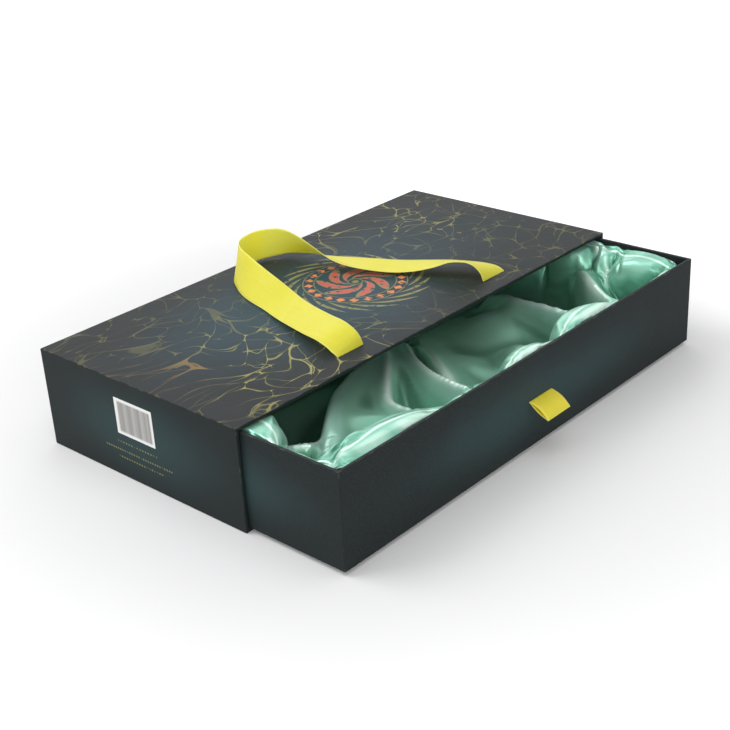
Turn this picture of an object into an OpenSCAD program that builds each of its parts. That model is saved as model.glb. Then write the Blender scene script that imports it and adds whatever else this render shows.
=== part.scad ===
// Sliding drawer gift box: a lined tray slides out of the open front of a flat sleeve. A satin
// ribbon handle is threaded through two slits in the sleeve's top, and a folded ribbon tab through
// one slit in the tray's front. Greyboard panels carry a printed wrapping paper outside and a
// lining paper inside. The origin is the middle of the sleeve's underside, the tray slides out
// towards -Y, and +Z is up. The tray is drawn partly pulled out.

/* [Sleeve] */
// Outside width of the sleeve, along its long side
sleeve_w = 390; // [300:1:480]
// Outside depth of the sleeve, from its open front to its closed back
sleeve_d = 190; // [170:1:240]
// Outside height of the sleeve
sleeve_h = 72; // [60:1:100]

/* [Tray] */
// How far the tray is pulled out
pull_out = 78; // [20:1:110]
// Running gap at each side of the tray
side_gap = 0.7; // [0.4:0.1:2]
// Running gap under the tray
under_gap = 0.2; // [0.1:0.05:0.5]
// Clearance over the tray
over_gap = 0.8; // [0.4:0.1:2]
// Clearance behind the closed tray
back_gap = 1; // [0.5:0.1:3]

/* [Board and paper] */
// Thickness of the greyboard
board_t = 2; // [1.5:0.1:3]
// Thickness of the printed wrapping paper
wrap_t = 0.2; // [0.1:0.05:0.3]
// Thickness of the glue film outside the board, which the stay tapes fill at the corners
glue_t = 0.1; // [0.05:0.05:0.2]
// Thickness of the lining paper
liner_t = 0.2; // [0.1:0.05:0.3]
// Width of the wrapping paper that turns in over an edge or under the base
turn_w = 15; // [10:0.5:16]
// Width of each leg of a corner stay tape
stay_w = 14; // [8:0.5:20]
// Gap between two papers that meet edge to edge
butt_gap = 0.3; // [0.2:0.1:1]

/* [Handle ribbon] */
// Width of the satin ribbon
ribbon_w = 25; // [15:1:32]
// Thickness of the satin ribbon
ribbon_t = 0.4; // [0.3:0.05:0.5]
// Distance between the two handle slits
slit_pitch = 154; // [120:1:200]
// Distance of the handle slits from the sleeve's front edge
slit_inset = 17; // [17:0.5:30]
// Extra length of a slit beyond the ribbon's width
slit_extra = 1; // [0.6:0.1:2]
// Play between a ribbon and the slit or pocket round it, on each side
ribbon_play = 0.3; // [0.2:0.05:0.5]
// Length of a ribbon tail glued inside
tail_len = 32; // [20:1:50]

/* [Pull tab] */
// Length of the folded ribbon tab outside the tray
tab_len = 17; // [10:1:30]
// Angle of the tab below the horizontal
tab_droop = 32; // [0:1:60]
// Length of each leaf of the tab glued inside the front
tab_leaf = 18; // [10:1:20]

/* [Lining] */
// Thickness of the sponge pad under the satin
pad_t = 6; // [3:0.5:10]
// Clearance round the sponge pad
pad_gap = 1; // [0.5:0.1:3]
// Clearance between the satin and what lies behind it
satin_gap = 0.3; // [0.2:0.1:1]
// Bulk of the gathered satin against a wall
satin_bulk = 2.5; // [1.5:0.1:5]
// How far the puffs at the rim swell inwards
puff = 9; // [3:0.5:14]
// Length of one puff between two glued points
puff_pitch = 62; // [40:1:90]
// Height of the billows on the floor
billow = 3; // [1:0.5:4]
// Distance of the satin's edge below the tray's rim
satin_drop = 4; // [2:0.5:15]

/* [Label] */
// Length of the printed label on the left end
label_l = 37; // [25:0.5:50]
// Height of the printed label
label_h = 26; // [15:0.5:35]
// Distance from the sleeve's top down to the label
label_drop = 13.5; // [5:0.5:25]
// Offset of the label's middle towards the back
label_y = 2; // [-40:1:40]

/* [Hidden] */

// Colours, as the photo shows them
C_PRINT = "#343e44";
C_BOARD = "#8f8a80";
C_BLACK = "#1b1c1e";
C_TAPE = "#b79a6a";
C_LABEL = "#f2f2ee";
C_RIBBON = "#e3d95a";
C_SATIN = "#4f9c7c";
C_FOAM = "#e9e6da";

LINING_T = max(liner_t, wrap_t);            // deepest paper on a board's inner face
SKIN = wrap_t + glue_t;                     // paper and glue outside a board
WALL = SKIN + board_t + LINING_T;           // whole thickness of a covered wall
CUT = 1;                                    // how far a cutting block runs past a face

// Sleeve: half sizes of its outside, its boards' outer faces and their inner faces
SX = sleeve_w / 2;
SY = sleeve_d / 2;
BX = SX - SKIN;
BY = SY - SKIN;
IX = BX - board_t;
IY = BY - board_t;
SZ0 = SKIN;                                 // underside of the bottom board
SZ1 = sleeve_h - SKIN;                      // upper side of the top board
IZ0 = SZ0 + board_t;
IZ1 = SZ1 - board_t;

// Tray: outside faces, the boards' outer faces and their inner faces
TX = SX - WALL - side_gap;
TY0 = -SY - pull_out;
TY1 = TY0 + 2 * SY - WALL - back_gap;
TZ0 = WALL + under_gap;
TZ1 = sleeve_h - WALL - over_gap;
TBX = TX - SKIN;
TBY0 = TY0 + SKIN;
TBY1 = TY1 - SKIN;
TBZ0 = TZ0 + SKIN;
TBZ1 = TZ1 - SKIN;
TIX = TBX - board_t;
TIY0 = TBY0 + board_t;
TIY1 = TBY1 - board_t;
TIZ = TBZ0 + board_t;                       // upper side of the tray's base board
TRAY_Y = (TY0 + TY1) / 2;                   // middle of the tray, front to back

// Ribbon handle: places of its slits and of its tails under the top board
SLIT_X = slit_pitch / 2;
SLIT_Y = -SY + slit_inset;
SLIT_W = ribbon_w + slit_extra;
SLIT_T = ribbon_t + 2 * ribbon_play;
POCKET_D = ribbon_t + 0.2;                  // depth of a pocket that hides a ribbon tail
TAIL_Z = IZ1 + POCKET_D / 2;                // middle of a tail in its pocket
BEND_R = ribbon_t / 2 + 0.4;                // bend of the ribbon's middle into its slit
BEND_RISE = 6;                              // height of the loop's swing axis over the top
JOIN_GAP = 0.08;                            // share of a station left open at the swing axis

// Stations of the ribbon from the left slit to the right one: place along the sleeve for slits
// 154 mm apart, distance behind the slits, height of the ribbon's lower edge over the top, and
// the direction from its outer edge to its inner one.
STATIONS = [
  [-77, 0, 0, [1, 0, 0]], [-77.5, 1, 1.6, [25, -1, 1]], [-78, 2.5, 2.8, [25, -2, 3]],
  [-78, 6, 4.8, [24, -3, 4]], [-77.5, 12, 6.4, [24, -3, 5]], [-75.5, 21, 6.6, [24, -3, 5.5]],
  [-71, 36, 5, [24, -3.5, 5.5]], [-61, 67, 2.5, [24, -5, 6]], [-52.5, 92, 1.2, [23, -5, 9]],
  [-47.5, 118, 1, [17.5, -6, 17]], [-41, 137, 1, [12, -3, 22]], [-34, 150, 1, [9, 0, 23]],
  [-24, 159, 1, [6, 0, 24]], [-9, 163, 1, [5, -1, 24]], [3, 161, 1.2, [3, -4, 24]],
  [12, 154, 2, [0, -8, 23]], [18, 144, 3, [-6, -14, 19]], [20, 127, 4.5, [-13, -17, 13]],
  [22, 110, 5, [-15, -19, 5.5]], [28, 96, 5, [-14, -20.5, 1]],
  [38.5, 75, 3.5, [-13.5, -21, -1.5]], [48.5, 59, 4, [-14, -20.5, 0]],
  [57, 43, 4.6, [-17, -18.5, 3.5]], [64, 31, 5, [-18.5, -14, 7]], [69, 20.5, 5, [-21, -9, 8]],
  [72, 13, 4.8, [-23, -6, 8]], [74.5, 7, 4, [-24, -3, 6]], [76, 3, 2.6, [-25, -2, 3.5]],
  [76.5, 1, 1.2, [-25, -1, 1]], [77, 0, 0, [-1, 0, 0]]
];
STATION_PITCH = 154;
LAST = len(STATIONS) - 1;
CUT_AT = 3;                                 // station at which a fixed tail ends

// Pull tab: its slit is half way up the tray's front
TAB_Z = (TZ0 + TZ1) / 2;
TAB_T = 2 * ribbon_t + 0.1;                 // the ribbon is folded double
TAB_FOLD = 0.2;                             // how much the folded end swells
TAB_SLIT_T = TAB_T + 2 * ribbon_play;
TAB_OUT = TAB_T / 2 + 0.35;                 // distance of the tab's swing axis from the front
TAB_STEM_OUT = 0.2;                         // how far the fixed stem shows in front

// Satin: place and size of its outer shape
PAD_TOP = TIZ + liner_t + pad_t;
SATIN_X = TIX - LINING_T - satin_gap;
SATIN_Y = (TIY1 - TIY0) / 2 - LINING_T - satin_gap;
SATIN_Z0 = PAD_TOP + satin_gap;
SATIN_Z1 = TZ1 - satin_drop;
SATIN_R = 9;                                // rounding of its corners
SATIN_FLOOR_T = 5;                          // mean thickness of the cloth heaped on the floor
SATIN_FOOT = 10;                            // height over which a wall of cloth meets the floor

// A block between two corners
module block(low, high) {
  translate(low) cube(high - low);
}

// A block about the Z axis, given by its half width, its two Y faces and its two Z faces
module panel(hx, y0, y1, z0, z1) {
  block([-hx, y0, z0], [hx, y1, z1]);
}

// ---- sleeve ----

module sleeve_top_board() {
  color(C_BOARD) difference() {
    panel(BX, -BY, BY, IZ1, SZ1);
    handle_slits(IZ1 - CUT, SZ1 + CUT);
    for (side = [-1, 1]) translate([side * SLIT_X, SLIT_Y, IZ1]) {
      block([-SLIT_W / 2, 0, -CUT], [SLIT_W / 2, tail_len + slit_extra / 2, POCKET_D]);
    }
  }
}

module handle_slits(z0, z1) {
  for (side = [-1, 1]) translate([side * SLIT_X, SLIT_Y, 0]) {
    block([-SLIT_W / 2, -SLIT_T / 2, z0], [SLIT_W / 2, SLIT_T / 2, z1]);
  }
}

module sleeve_bottom_board() {
  color(C_BOARD) panel(BX, -BY, BY, SZ0, IZ0);
}

module sleeve_back_board() {
  color(C_BOARD) panel(BX, IY, BY, IZ0, IZ1);
}

module sleeve_end_board(side) {
  translate([side * (BX + IX) / 2, 0, 0]) panel(board_t / 2, -BY, IY, IZ0, IZ1);
}

module sleeve_left_board() {
  color(C_BOARD) sleeve_end_board(-1);
}

module sleeve_right_board() {
  color(C_BOARD) sleeve_end_board(1);
}

// Tapes that hold each end board to the top, the bottom and the back
module sleeve_corner_stays() {
  color(C_TAPE) for (side = [0, 1]) mirror([side, 0, 0]) {
    for (low = [0, 1]) translate([0, 0, low * sleeve_h]) mirror([0, 0, low]) {
      block([BX - stay_w, -BY, SZ1], [BX + glue_t, BY, SZ1 + glue_t]);
      block([BX, -BY, SZ1 - stay_w], [BX + glue_t, BY, SZ1 + glue_t]);
    }
    back_z0 = SZ0 + stay_w + butt_gap;
    back_z1 = SZ1 - stay_w - butt_gap;
    block([BX - stay_w, BY, back_z0], [BX + glue_t, BY + glue_t, back_z1]);
    block([BX, BY - stay_w, back_z0], [BX + glue_t, BY + glue_t, back_z1]);
  }
}

// One sheet folded round the sleeve, in over its front edges and under its base
module sleeve_wrap() {
  color(C_PRINT) difference() {
    union() {
      difference() {
        panel(SX, -SY, SY, 0, sleeve_h);
        panel(SX - wrap_t, wrap_t - SY, SY - wrap_t, wrap_t, sleeve_h - wrap_t);
      }
      panel(IX, -SY, turn_w - SY, IZ0, IZ1);
    }
    panel(IX - wrap_t, -SY - CUT, SY - SKIN, IZ0 + wrap_t, IZ1 - wrap_t);
    panel(SX - turn_w, turn_w - SY, SY - turn_w, -CUT, wrap_t + glue_t / 2);
    handle_slits(sleeve_h - wrap_t - glue_t / 2, sleeve_h + CUT);
  }
}

module sleeve_base_sheet() {
  half_x = SX - turn_w - butt_gap;
  half_y = SY - turn_w - butt_gap;
  color(C_BLACK) panel(half_x, -half_y, half_y, 0, wrap_t);
}

module sleeve_liner() {
  front = turn_w + butt_gap - SY;
  color(C_BLACK) difference() {
    panel(IX, front, IY, IZ0, IZ1);
    panel(IX - liner_t, front - CUT, IY - liner_t, IZ0 + liner_t, IZ1 - liner_t);
  }
}

module end_label() {
  top = sleeve_h - label_drop;
  color(C_LABEL) block(
    [-SX - glue_t, label_y - label_l / 2, top - label_h],
    [-SX, label_y + label_l / 2, top]
  );
}

// ---- ribbon ----

function unit(v) = v / norm(v);

// A smooth curve through b and c at share t, led by its neighbours a and d
function curve(a, b, c, d, t) =
  (2 * b + (c - a) * t + (2 * a - 5 * b + 4 * c - d) * t * t
    + (3 * b - a - 3 * c + d) * t * t * t) / 2;

// Value of a list of points at station u, which may lie between two points
function at(list, u) =
  let (i = min(floor(u), len(list) - 2))
  curve(
    list[max(i - 1, 0)], list[i], list[i + 1], list[min(i + 2, len(list) - 1)], u - i
  );

// Middle of the ribbon and direction across it, at every station
MIDDLES = [for (s = STATIONS) [
  s[0] * slit_pitch / STATION_PITCH,
  SLIT_Y + s[1],
  sleeve_h + s[2] + abs(unit(s[3])[2]) * ribbon_w / 2
]];
ACROSS = [for (s = STATIONS) unit(s[3])];

// One cross-section: its middle and the unit direction across the ribbon
function section(u) = [at(MIDDLES, u), unit(at(ACROSS, u))];

// A flat strip through cross-sections, with its thickness square to its run
module strip(sections, thick) {
  n = len(sections);
  corners = [for (i = [0 : n - 1])
    let (
      run = sections[min(i + 1, n - 1)][0] - sections[max(i - 1, 0)][0],
      side = sections[i][1] * ribbon_w / 2,
      up = unit(cross(run, sections[i][1])) * thick / 2
    )
    each [
      sections[i][0] + side + up, sections[i][0] - side + up,
      sections[i][0] - side - up, sections[i][0] + side - up
    ]
  ];
  sides = [for (i = [0 : n - 2], k = [0 : 3])
    let (a = 4 * i + k, b = 4 * i + (k + 1) % 4)
    each [[a, b, b + 4], [a, b + 4, a + 4]]
  ];
  last = 4 * (n - 1);
  ends = [[3, 2, 1, 0], [last, last + 1, last + 2, last + 3]];
  polyhedron(corners, concat(sides, ends));
}

// Sections of a tail from its glued end, along its pocket and up through its slit
function tail_sections(side) = [
  for (p = [
    [tail_len, 0], [BEND_R * 2, 0], [BEND_R, 0], [BEND_R * 0.3, BEND_R * 0.3],
    [0, BEND_R], [0, board_t * 0.6]
  ])
  [[side * SLIT_X, SLIT_Y + p[0], TAIL_Z + p[1]], [-side, 0, 0]]
];

module handle_tail_left() {
  stub = [for (u = [0 : 0.5 : CUT_AT]) section(u)];
  color(C_RIBBON) strip(concat(tail_sections(-1), stub), ribbon_t);
}

module handle_tail_right() {
  stub = [for (u = [0 : 0.5 : CUT_AT]) section(LAST - u)];
  color(C_RIBBON) strip(concat(tail_sections(1), stub), ribbon_t);
}

// The loop that lies back on the sleeve's top and lifts for carrying
module handle_ribbon() {
  first = CUT_AT + JOIN_GAP;
  step = (LAST - 2 * first) / 56;
  color(C_RIBBON) strip([for (k = [0 : 56]) section(first + k * step)], ribbon_t);
}

// ---- tray ----

module tray_base_board() {
  color(C_BOARD) panel(TBX, TBY0, TBY1, TBZ0, TIZ);
}

module tray_front_board() {
  inner = TIY0 - POCKET_D;
  color(C_BOARD) difference() {
    panel(TBX, TBY0, TIY0, TIZ, TBZ1);
    tab_slit(TBY0 - CUT, TIY0 + CUT);
    panel(SLIT_W / 2, inner, TIY0 + CUT, TAB_Z - leaf_reach(), TAB_Z + leaf_reach());
  }
}

// Half height of the pocket that takes the tab's two leaves
function leaf_reach() = TAB_T / 2 + tab_leaf + slit_extra / 2;

module tab_slit(y0, y1) {
  panel(SLIT_W / 2, y0, y1, TAB_Z - TAB_SLIT_T / 2, TAB_Z + TAB_SLIT_T / 2);
}

module tray_back_board() {
  color(C_BOARD) panel(TBX, TIY1, TBY1, TIZ, TBZ1);
}

module tray_end_board(side) {
  translate([side * (TBX + TIX) / 2, 0, 0]) panel(board_t / 2, TIY0, TIY1, TIZ, TBZ1);
}

module tray_left_board() {
  color(C_BOARD) tray_end_board(-1);
}

module tray_right_board() {
  color(C_BOARD) tray_end_board(1);
}

// Tapes round the four upright corners
module tray_corner_stays() {
  color(C_TAPE) translate([0, TRAY_Y, 0]) {
    half_y = (TBY1 - TBY0) / 2;
    for (sx = [0, 1], sy = [0, 1]) mirror([sx, 0, 0]) mirror([0, sy, 0]) {
      block([TBX - stay_w, half_y, TBZ0], [TBX + glue_t, half_y + glue_t, TBZ1]);
      block([TBX, half_y - stay_w, TBZ0], [TBX + glue_t, half_y + glue_t, TBZ1]);
    }
  }
}

// One sheet round the tray's sides, in over the rim and under its base
module tray_wrap() {
  color(C_PRINT) difference() {
    union() {
      difference() {
        panel(TX, TY0, TY1, TZ0, TZ1);
        panel(TX - wrap_t, TY0 + wrap_t, TY1 - wrap_t, TZ0 + wrap_t, TZ1 - wrap_t);
      }
      panel(TIX, TIY0, TIY1, TZ1 - turn_w, TZ1);
    }
    panel(TIX - wrap_t, TIY0 + wrap_t, TIY1 - wrap_t, TIZ, TZ1 + CUT);
    panel(TX - turn_w, TY0 + turn_w, TY1 - turn_w, TZ0 - CUT, TBZ0 - glue_t / 2);
    tab_slit(TY0 - CUT, TBY0 - glue_t / 2);
  }
}

module tray_base_sheet() {
  border = turn_w + butt_gap;
  color(C_BLACK) panel(TX - border, TY0 + border, TY1 - border, TZ0, TZ0 + wrap_t);
}

module tray_liner() {
  top = TZ1 - turn_w - butt_gap;
  color(C_BLACK) difference() {
    panel(TIX, TIY0, TIY1, TIZ, top);
    panel(TIX - liner_t, TIY0 + liner_t, TIY1 - liner_t, TIZ + liner_t, top + CUT);
  }
}

module base_pad() {
  edge = LINING_T + pad_gap;
  color(C_FOAM) panel(TIX - edge, TIY0 + edge, TIY1 - edge, TIZ + liner_t, PAD_TOP);
}

// Points round a rounded rectangle, each [x, y, distance run along it], counter-clockwise
function rounded(hx, hy, r, long_n = 26, short_n = 14, corner_n = 6) =
  let (
    quarter = PI * r / 2,
    runs = [2 * (hy - r), 2 * (hx - r)],
    corner = function (k) [(k == 1 || k == 2 ? -1 : 1) * (hx - r), (k < 2 ? 1 : -1) * (hy - r)],
    starts = [0, quarter + runs[1], 2 * quarter + runs[0] + runs[1],
      3 * quarter + runs[0] + 2 * runs[1]]
  )
  [for (k = [0 : 3])
    let (c = corner(k), d = corner((k + 1) % 4), n = k % 2 == 0 ? long_n : short_n)
    each concat(
      [for (i = [0 : corner_n - 1])
        let (t = i / corner_n, a = 90 * (k + t))
        [c[0] + r * cos(a), c[1] + r * sin(a), starts[k] + quarter * t]],
      [for (i = [0 : n - 1])
        let (t = i / n, a = 90 * (k + 1))
        [
          c[0] + (d[0] - c[0]) * t + r * cos(a),
          c[1] + (d[1] - c[1]) * t + r * sin(a),
          starts[k] + quarter + norm(d - c) * t
        ]]
    )
  ];

// Height of the cloth's upper face over the floor, in soft billows
function billows(x, y) =
  SATIN_Z0 + SATIN_FLOOR_T + billow * (sin(x * 3.1 + y * 1.7) + sin(y * 4.3 - x * 1.9)) / 2;

// The satin: a soft basin with swelling puffs round its rim, closed as one thick solid
module satin_lining() {
  run = 4 * (SATIN_X + SATIN_Y) - (8 - 2 * PI) * SATIN_R;
  pitch = run / round(run / puff_pitch);
  height = SATIN_Z1 - SATIN_Z0;
  // Each ring: inset from the outer shape, height, share of the puff, share of the billows
  rings = [
    [SATIN_Y * 0.6, SATIN_Z0, 0, 0], [SATIN_FOOT, SATIN_Z0, 0, 0],
    [SATIN_FOOT * 0.3, SATIN_Z0 + SATIN_FOOT * 0.3, 0, 0], [0, SATIN_Z0 + SATIN_FOOT, 0, 0],
    [0, SATIN_Z1 - 1, 0, 0], [satin_bulk / 2, SATIN_Z1, 0.1, 0],
    [satin_bulk, SATIN_Z1 - 1.5, 0.45, 0], [satin_bulk, SATIN_Z1 - 6, 1, 0],
    [satin_bulk, SATIN_Z1 - 13, 0.9, 0], [satin_bulk, SATIN_Z1 - height * 0.45, 0.4, 0],
    [satin_bulk, SATIN_Z0 + SATIN_FOOT * 1.6, 0.2, 0],
    [SATIN_FOOT * 0.6, SATIN_Z0 + SATIN_FOOT, 0, 0.4],
    [SATIN_FOOT * 1.4, SATIN_Z0 + SATIN_FLOOR_T, 0, 1],
    [SATIN_Y * 0.35, 0, 0, 1], [SATIN_Y * 0.6, 0, 0, 1], [SATIN_Y * 0.85, 0, 0, 1]
  ];
  loops = [for (ring = rings)
    let (r = max(SATIN_R - ring[0], 2))
    [for (p = rounded(SATIN_X - ring[0], SATIN_Y - ring[0], r))
      let (
        swell = puff * ring[2] * pow(abs(sin(180 * p[2] / pitch)), 0.7),
        q = [p[0] * (1 - swell / SATIN_X), p[1] * (1 - swell / SATIN_Y)],
        floor_z = billows(q[0], q[1]),
        z = ring[1] * (1 - ring[3]) + max(floor_z, ring[3] < 1 ? SATIN_Z0 : 0) * ring[3]
      )
      [q[0], q[1] + TRAY_Y, z]]
  ];
  n = len(loops[0]);
  m = len(loops);
  middle = [[0, TRAY_Y, SATIN_Z0], [0, TRAY_Y, billows(0, 0)]];
  sides = [for (i = [0 : m - 2], k = [0 : n - 1])
    let (a = i * n + k, b = i * n + (k + 1) % n)
    each [[b, a, a + n], [b, a + n, b + n]]
  ];
  bottom = [for (k = [0 : n - 1]) [k, (k + 1) % n, m * n]];
  top = [for (k = [0 : n - 1]) [(m - 1) * n + (k + 1) % n, (m - 1) * n + k, m * n + 1]];
  color(C_SATIN) polyhedron(
    concat([for (loop = loops) each loop], middle), concat(sides, bottom, top)
  );
}

// Fixed part of the tab: a stem through the slit and two leaves glued inside the front
module pull_tab_tail() {
  leaf = TAB_T / 2 + tab_leaf;
  face = TIY0 - POCKET_D / 2;
  color(C_RIBBON) union() {
    panel(ribbon_w / 2, TY0 - TAB_STEM_OUT, face, TAB_Z - TAB_T / 2, TAB_Z + TAB_T / 2);
    panel(ribbon_w / 2, face - ribbon_t / 2, face + ribbon_t / 2, TAB_Z - leaf, TAB_Z + leaf);
  }
}

// The folded tab, which swings about the slit's mouth
module pull_tab() {
  tip = tab_len - TAB_T / 2 - TAB_FOLD;
  color(C_RIBBON) translate([0, TY0 - TAB_OUT, TAB_Z]) rotate([tab_droop, 0, 0]) {
    rotate([0, 90, 0]) cylinder(h = ribbon_w, d = TAB_T, center = true, $fn = 24);
    panel(ribbon_w / 2, -tip, 0, -TAB_T / 2, TAB_T / 2);
    translate([0, -tip, 0]) rotate([0, 90, 0])
      cylinder(h = ribbon_w, d = TAB_T + 2 * TAB_FOLD, center = true, $fn = 24);
  }
}

sleeve_top_board();
sleeve_bottom_board();
sleeve_back_board();
sleeve_left_board();
sleeve_right_board();
sleeve_corner_stays();
sleeve_wrap();
sleeve_base_sheet();
sleeve_liner();
end_label();
handle_tail_left();
handle_tail_right();
handle_ribbon();
tray_base_board();
tray_front_board();
tray_back_board();
tray_left_board();
tray_right_board();
tray_corner_stays();
tray_wrap();
tray_base_sheet();
tray_liner();
base_pad();
satin_lining();
pull_tab_tail();
pull_tab();
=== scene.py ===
import functools
import math

import bmesh
import bpy
import numpy as np
from mathutils import Matrix, Vector


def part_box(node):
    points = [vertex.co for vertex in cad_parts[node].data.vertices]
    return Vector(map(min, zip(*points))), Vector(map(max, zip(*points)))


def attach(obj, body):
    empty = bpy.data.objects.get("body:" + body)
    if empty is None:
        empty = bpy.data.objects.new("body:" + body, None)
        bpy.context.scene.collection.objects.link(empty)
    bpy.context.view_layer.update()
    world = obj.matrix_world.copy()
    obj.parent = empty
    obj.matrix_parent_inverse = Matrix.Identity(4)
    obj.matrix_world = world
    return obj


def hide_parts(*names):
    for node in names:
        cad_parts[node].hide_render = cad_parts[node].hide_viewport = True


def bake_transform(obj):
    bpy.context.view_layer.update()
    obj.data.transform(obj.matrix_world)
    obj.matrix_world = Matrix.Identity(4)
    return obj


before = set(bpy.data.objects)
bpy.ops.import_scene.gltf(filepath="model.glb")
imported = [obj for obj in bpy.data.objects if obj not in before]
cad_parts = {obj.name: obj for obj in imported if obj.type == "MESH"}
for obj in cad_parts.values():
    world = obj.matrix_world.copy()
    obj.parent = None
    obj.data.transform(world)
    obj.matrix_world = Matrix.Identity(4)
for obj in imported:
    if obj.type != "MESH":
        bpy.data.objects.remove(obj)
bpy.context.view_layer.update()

bl_info = {
    "name": "Sliding Drawer Gift Box",
    "version": (1, 0, 0),
    "blender": (4, 5, 0),
    "location": "View3D > Sidebar > Gift Box",
    "description": "Papers, ribbons and satin of a sliding drawer gift box",
    "category": "Add Mesh",
}

MM = 0.001

SLEEVE_LOW, SLEEVE_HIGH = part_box("sleeve_wrap")
TRAY_LOW, TRAY_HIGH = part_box("tray_wrap")
LABEL_LOW, LABEL_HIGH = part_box("end_label")
PAD_LOW, PAD_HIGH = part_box("base_pad")

# Sheets of paper: thickness, the covered wall's thickness, the rounding of a folded edge, the least
# rounding of a corner, the width that turns in over a rim or under a base, and the height up to
# which the paper under the sleeve is cut away inside that width. Then the rounding and the bevel of
# the label, and the points on a quarter of a folded edge.
PAPER_T = 0.2 * MM
WALL_T = 2.5 * MM
FOLD_R = 0.6 * MM
LEAST_R = 0.05 * MM
TURN_W = 15 * MM
WINDOW_Z = 0.25 * MM
LABEL_R = 0.4 * MM
LABEL_BEVEL = 0.03 * MM
ARC_POINTS = 6

# Woven ribbon: points across a side, the share of its thickness between its woven edges, where
# those start as a share of the width, and the share of the width that its flat sides have.
RIBBON_LINES = 15
WEAVE_T = 0.8
WOVEN_EDGE = 0.44
WEAVE_W = 0.992

# Ribbon handle: place and size of its two slits, the height, length and bend of its glued tails and
# how far they rise into the slits, how far behind and over the slits its loop has fully turned when
# it swings, and the steps of its mesh. Then its stations from the left slit to the right one. A
# station gives the place along the sleeve, the distance behind the slits, the height of the
# ribbon's lower edge over the top, and the direction from its outer edge to its inner one.
SLIT_X = 77 * MM
SLIT_Y = -78 * MM
SLIT_LENGTH = 26 * MM
SLIT_T = 1.0 * MM
TAIL_Z = 70 * MM
TAIL_LENGTH = 32 * MM
TAIL_BEND = 0.6 * MM
TAIL_RISES = (1.0 * MM, 1.6 * MM, 2.0 * MM)
HANDLE_STEPS = 360
STATIONS = np.array([
    [-77, 0, 0, 1, 0, 0], [-77.5, 1, 1.6, 25, -1, 1], [-78, 2.5, 2.8, 25, -2, 3],
    [-78, 6, 4.8, 24, -3, 4], [-77.5, 12, 6.4, 24, -3, 5], [-75.5, 21, 6.6, 24, -3, 5.5],
    [-71, 36, 5, 24, -3.5, 5.5], [-61, 67, 2.5, 24, -5, 6], [-52.5, 92, 1.2, 23, -5, 9],
    [-47.5, 118, 1, 17.5, -6, 17], [-41, 137, 1, 12, -3, 22], [-34, 150, 1, 9, 0, 23],
    [-24, 159, 1, 6, 0, 24], [-9, 163, 1, 5, -1, 24], [3, 161, 1.2, 3, -4, 24],
    [12, 154, 2, 0, -8, 23], [18, 144, 3, -6, -14, 19], [20, 127, 4.5, -13, -17, 13],
    [22, 110, 5, -15, -19, 5.5], [28, 96, 5, -14, -20.5, 1],
    [38.5, 75, 3.5, -13.5, -21, -1.5], [48.5, 59, 4, -14, -20.5, 0],
    [57, 43, 4.6, -17, -18.5, 3.5], [64, 31, 5, -18.5, -14, 7], [69, 20.5, 5, -21, -9, 8],
    [72, 13, 4.8, -23, -6, 8], [74.5, 7, 4, -24, -3, 6], [76, 3, 2.6, -25, -2, 3.5],
    [76.5, 1, 1.2, -25, -1, 1], [77, 0, 0, -1, 0, 0],
])

# Pull tab: height and thickness of its slit, and the face that its two leaves lie on with their
# length and bend. The tab's free length starts just outside the slit, and two more places lie
# inside it. Each of its two layers lies off the middle and bellies out, up or down. They meet in a
# tip, which stands back from the full length and has a reach and a half thickness. The whole tab
# bows up, and it bends from just outside the slit to a place out and down from there.
TAB_Z = 35.7 * MM
TAB_SLIT_T = 1.5 * MM
TAB_LEAF_Y = -171.0 * MM
TAB_LEAF_LENGTH = 18 * MM
TAB_LEAF_BEND = 0.5 * MM
TAB_ROOT = 0.4 * MM
TAB_INNER = (0.9 * MM, 0.3 * MM)
TAB_LAYER = 0.26 * MM
TAB_BELLY_UP = 0.55 * MM
TAB_BELLY_DOWN = 1.9 * MM
TAB_TIP_BACK = 0.9 * MM
TAB_TIP_REACH = 0.45 * MM
TAB_TIP_HALF = 0.32 * MM
TAB_BOW = 1.0 * MM

# Sponge pad: the points of its grid, the width and the drop of its soft edge, and its slight waves.
PAD_U = 61
PAD_V = 33
PAD_EDGE = 2.5 * MM
PAD_DROP = 1.6 * MM
PAD_WAVE = 0.15 * MM
PAD_TURNS = (9, 7)

# Satin: where it is glued round the rim (distance along each wall from its left or front end, in
# millimetres) with the share of a full puff that the stretch after each point has.
FRONT_PINCHES = [(-206, 1.1), (-94, 0.45), (-62, 0.5), (-33, 0.85), (32, 1.1), (112, 0.35),
                 (150, 0.5), (188, 0)]
RIGHT_PINCHES = [(-170, 0.95), (-118, 0.6), (-101, 0.9), (-52, 0.8), (8, 0)]
BACK_PINCHES = [(-186, 0.8), (-120, 0.7), (-60, 0.8), (0, 0.7), (62, 0.8), (124, 0.7), (186, 0)]
LEFT_PINCHES = [(-170, 0.25), (-152, 0.35), (-121, 1.3), (-80, 0.8), (-40, 0.8), (8, 0)]

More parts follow.
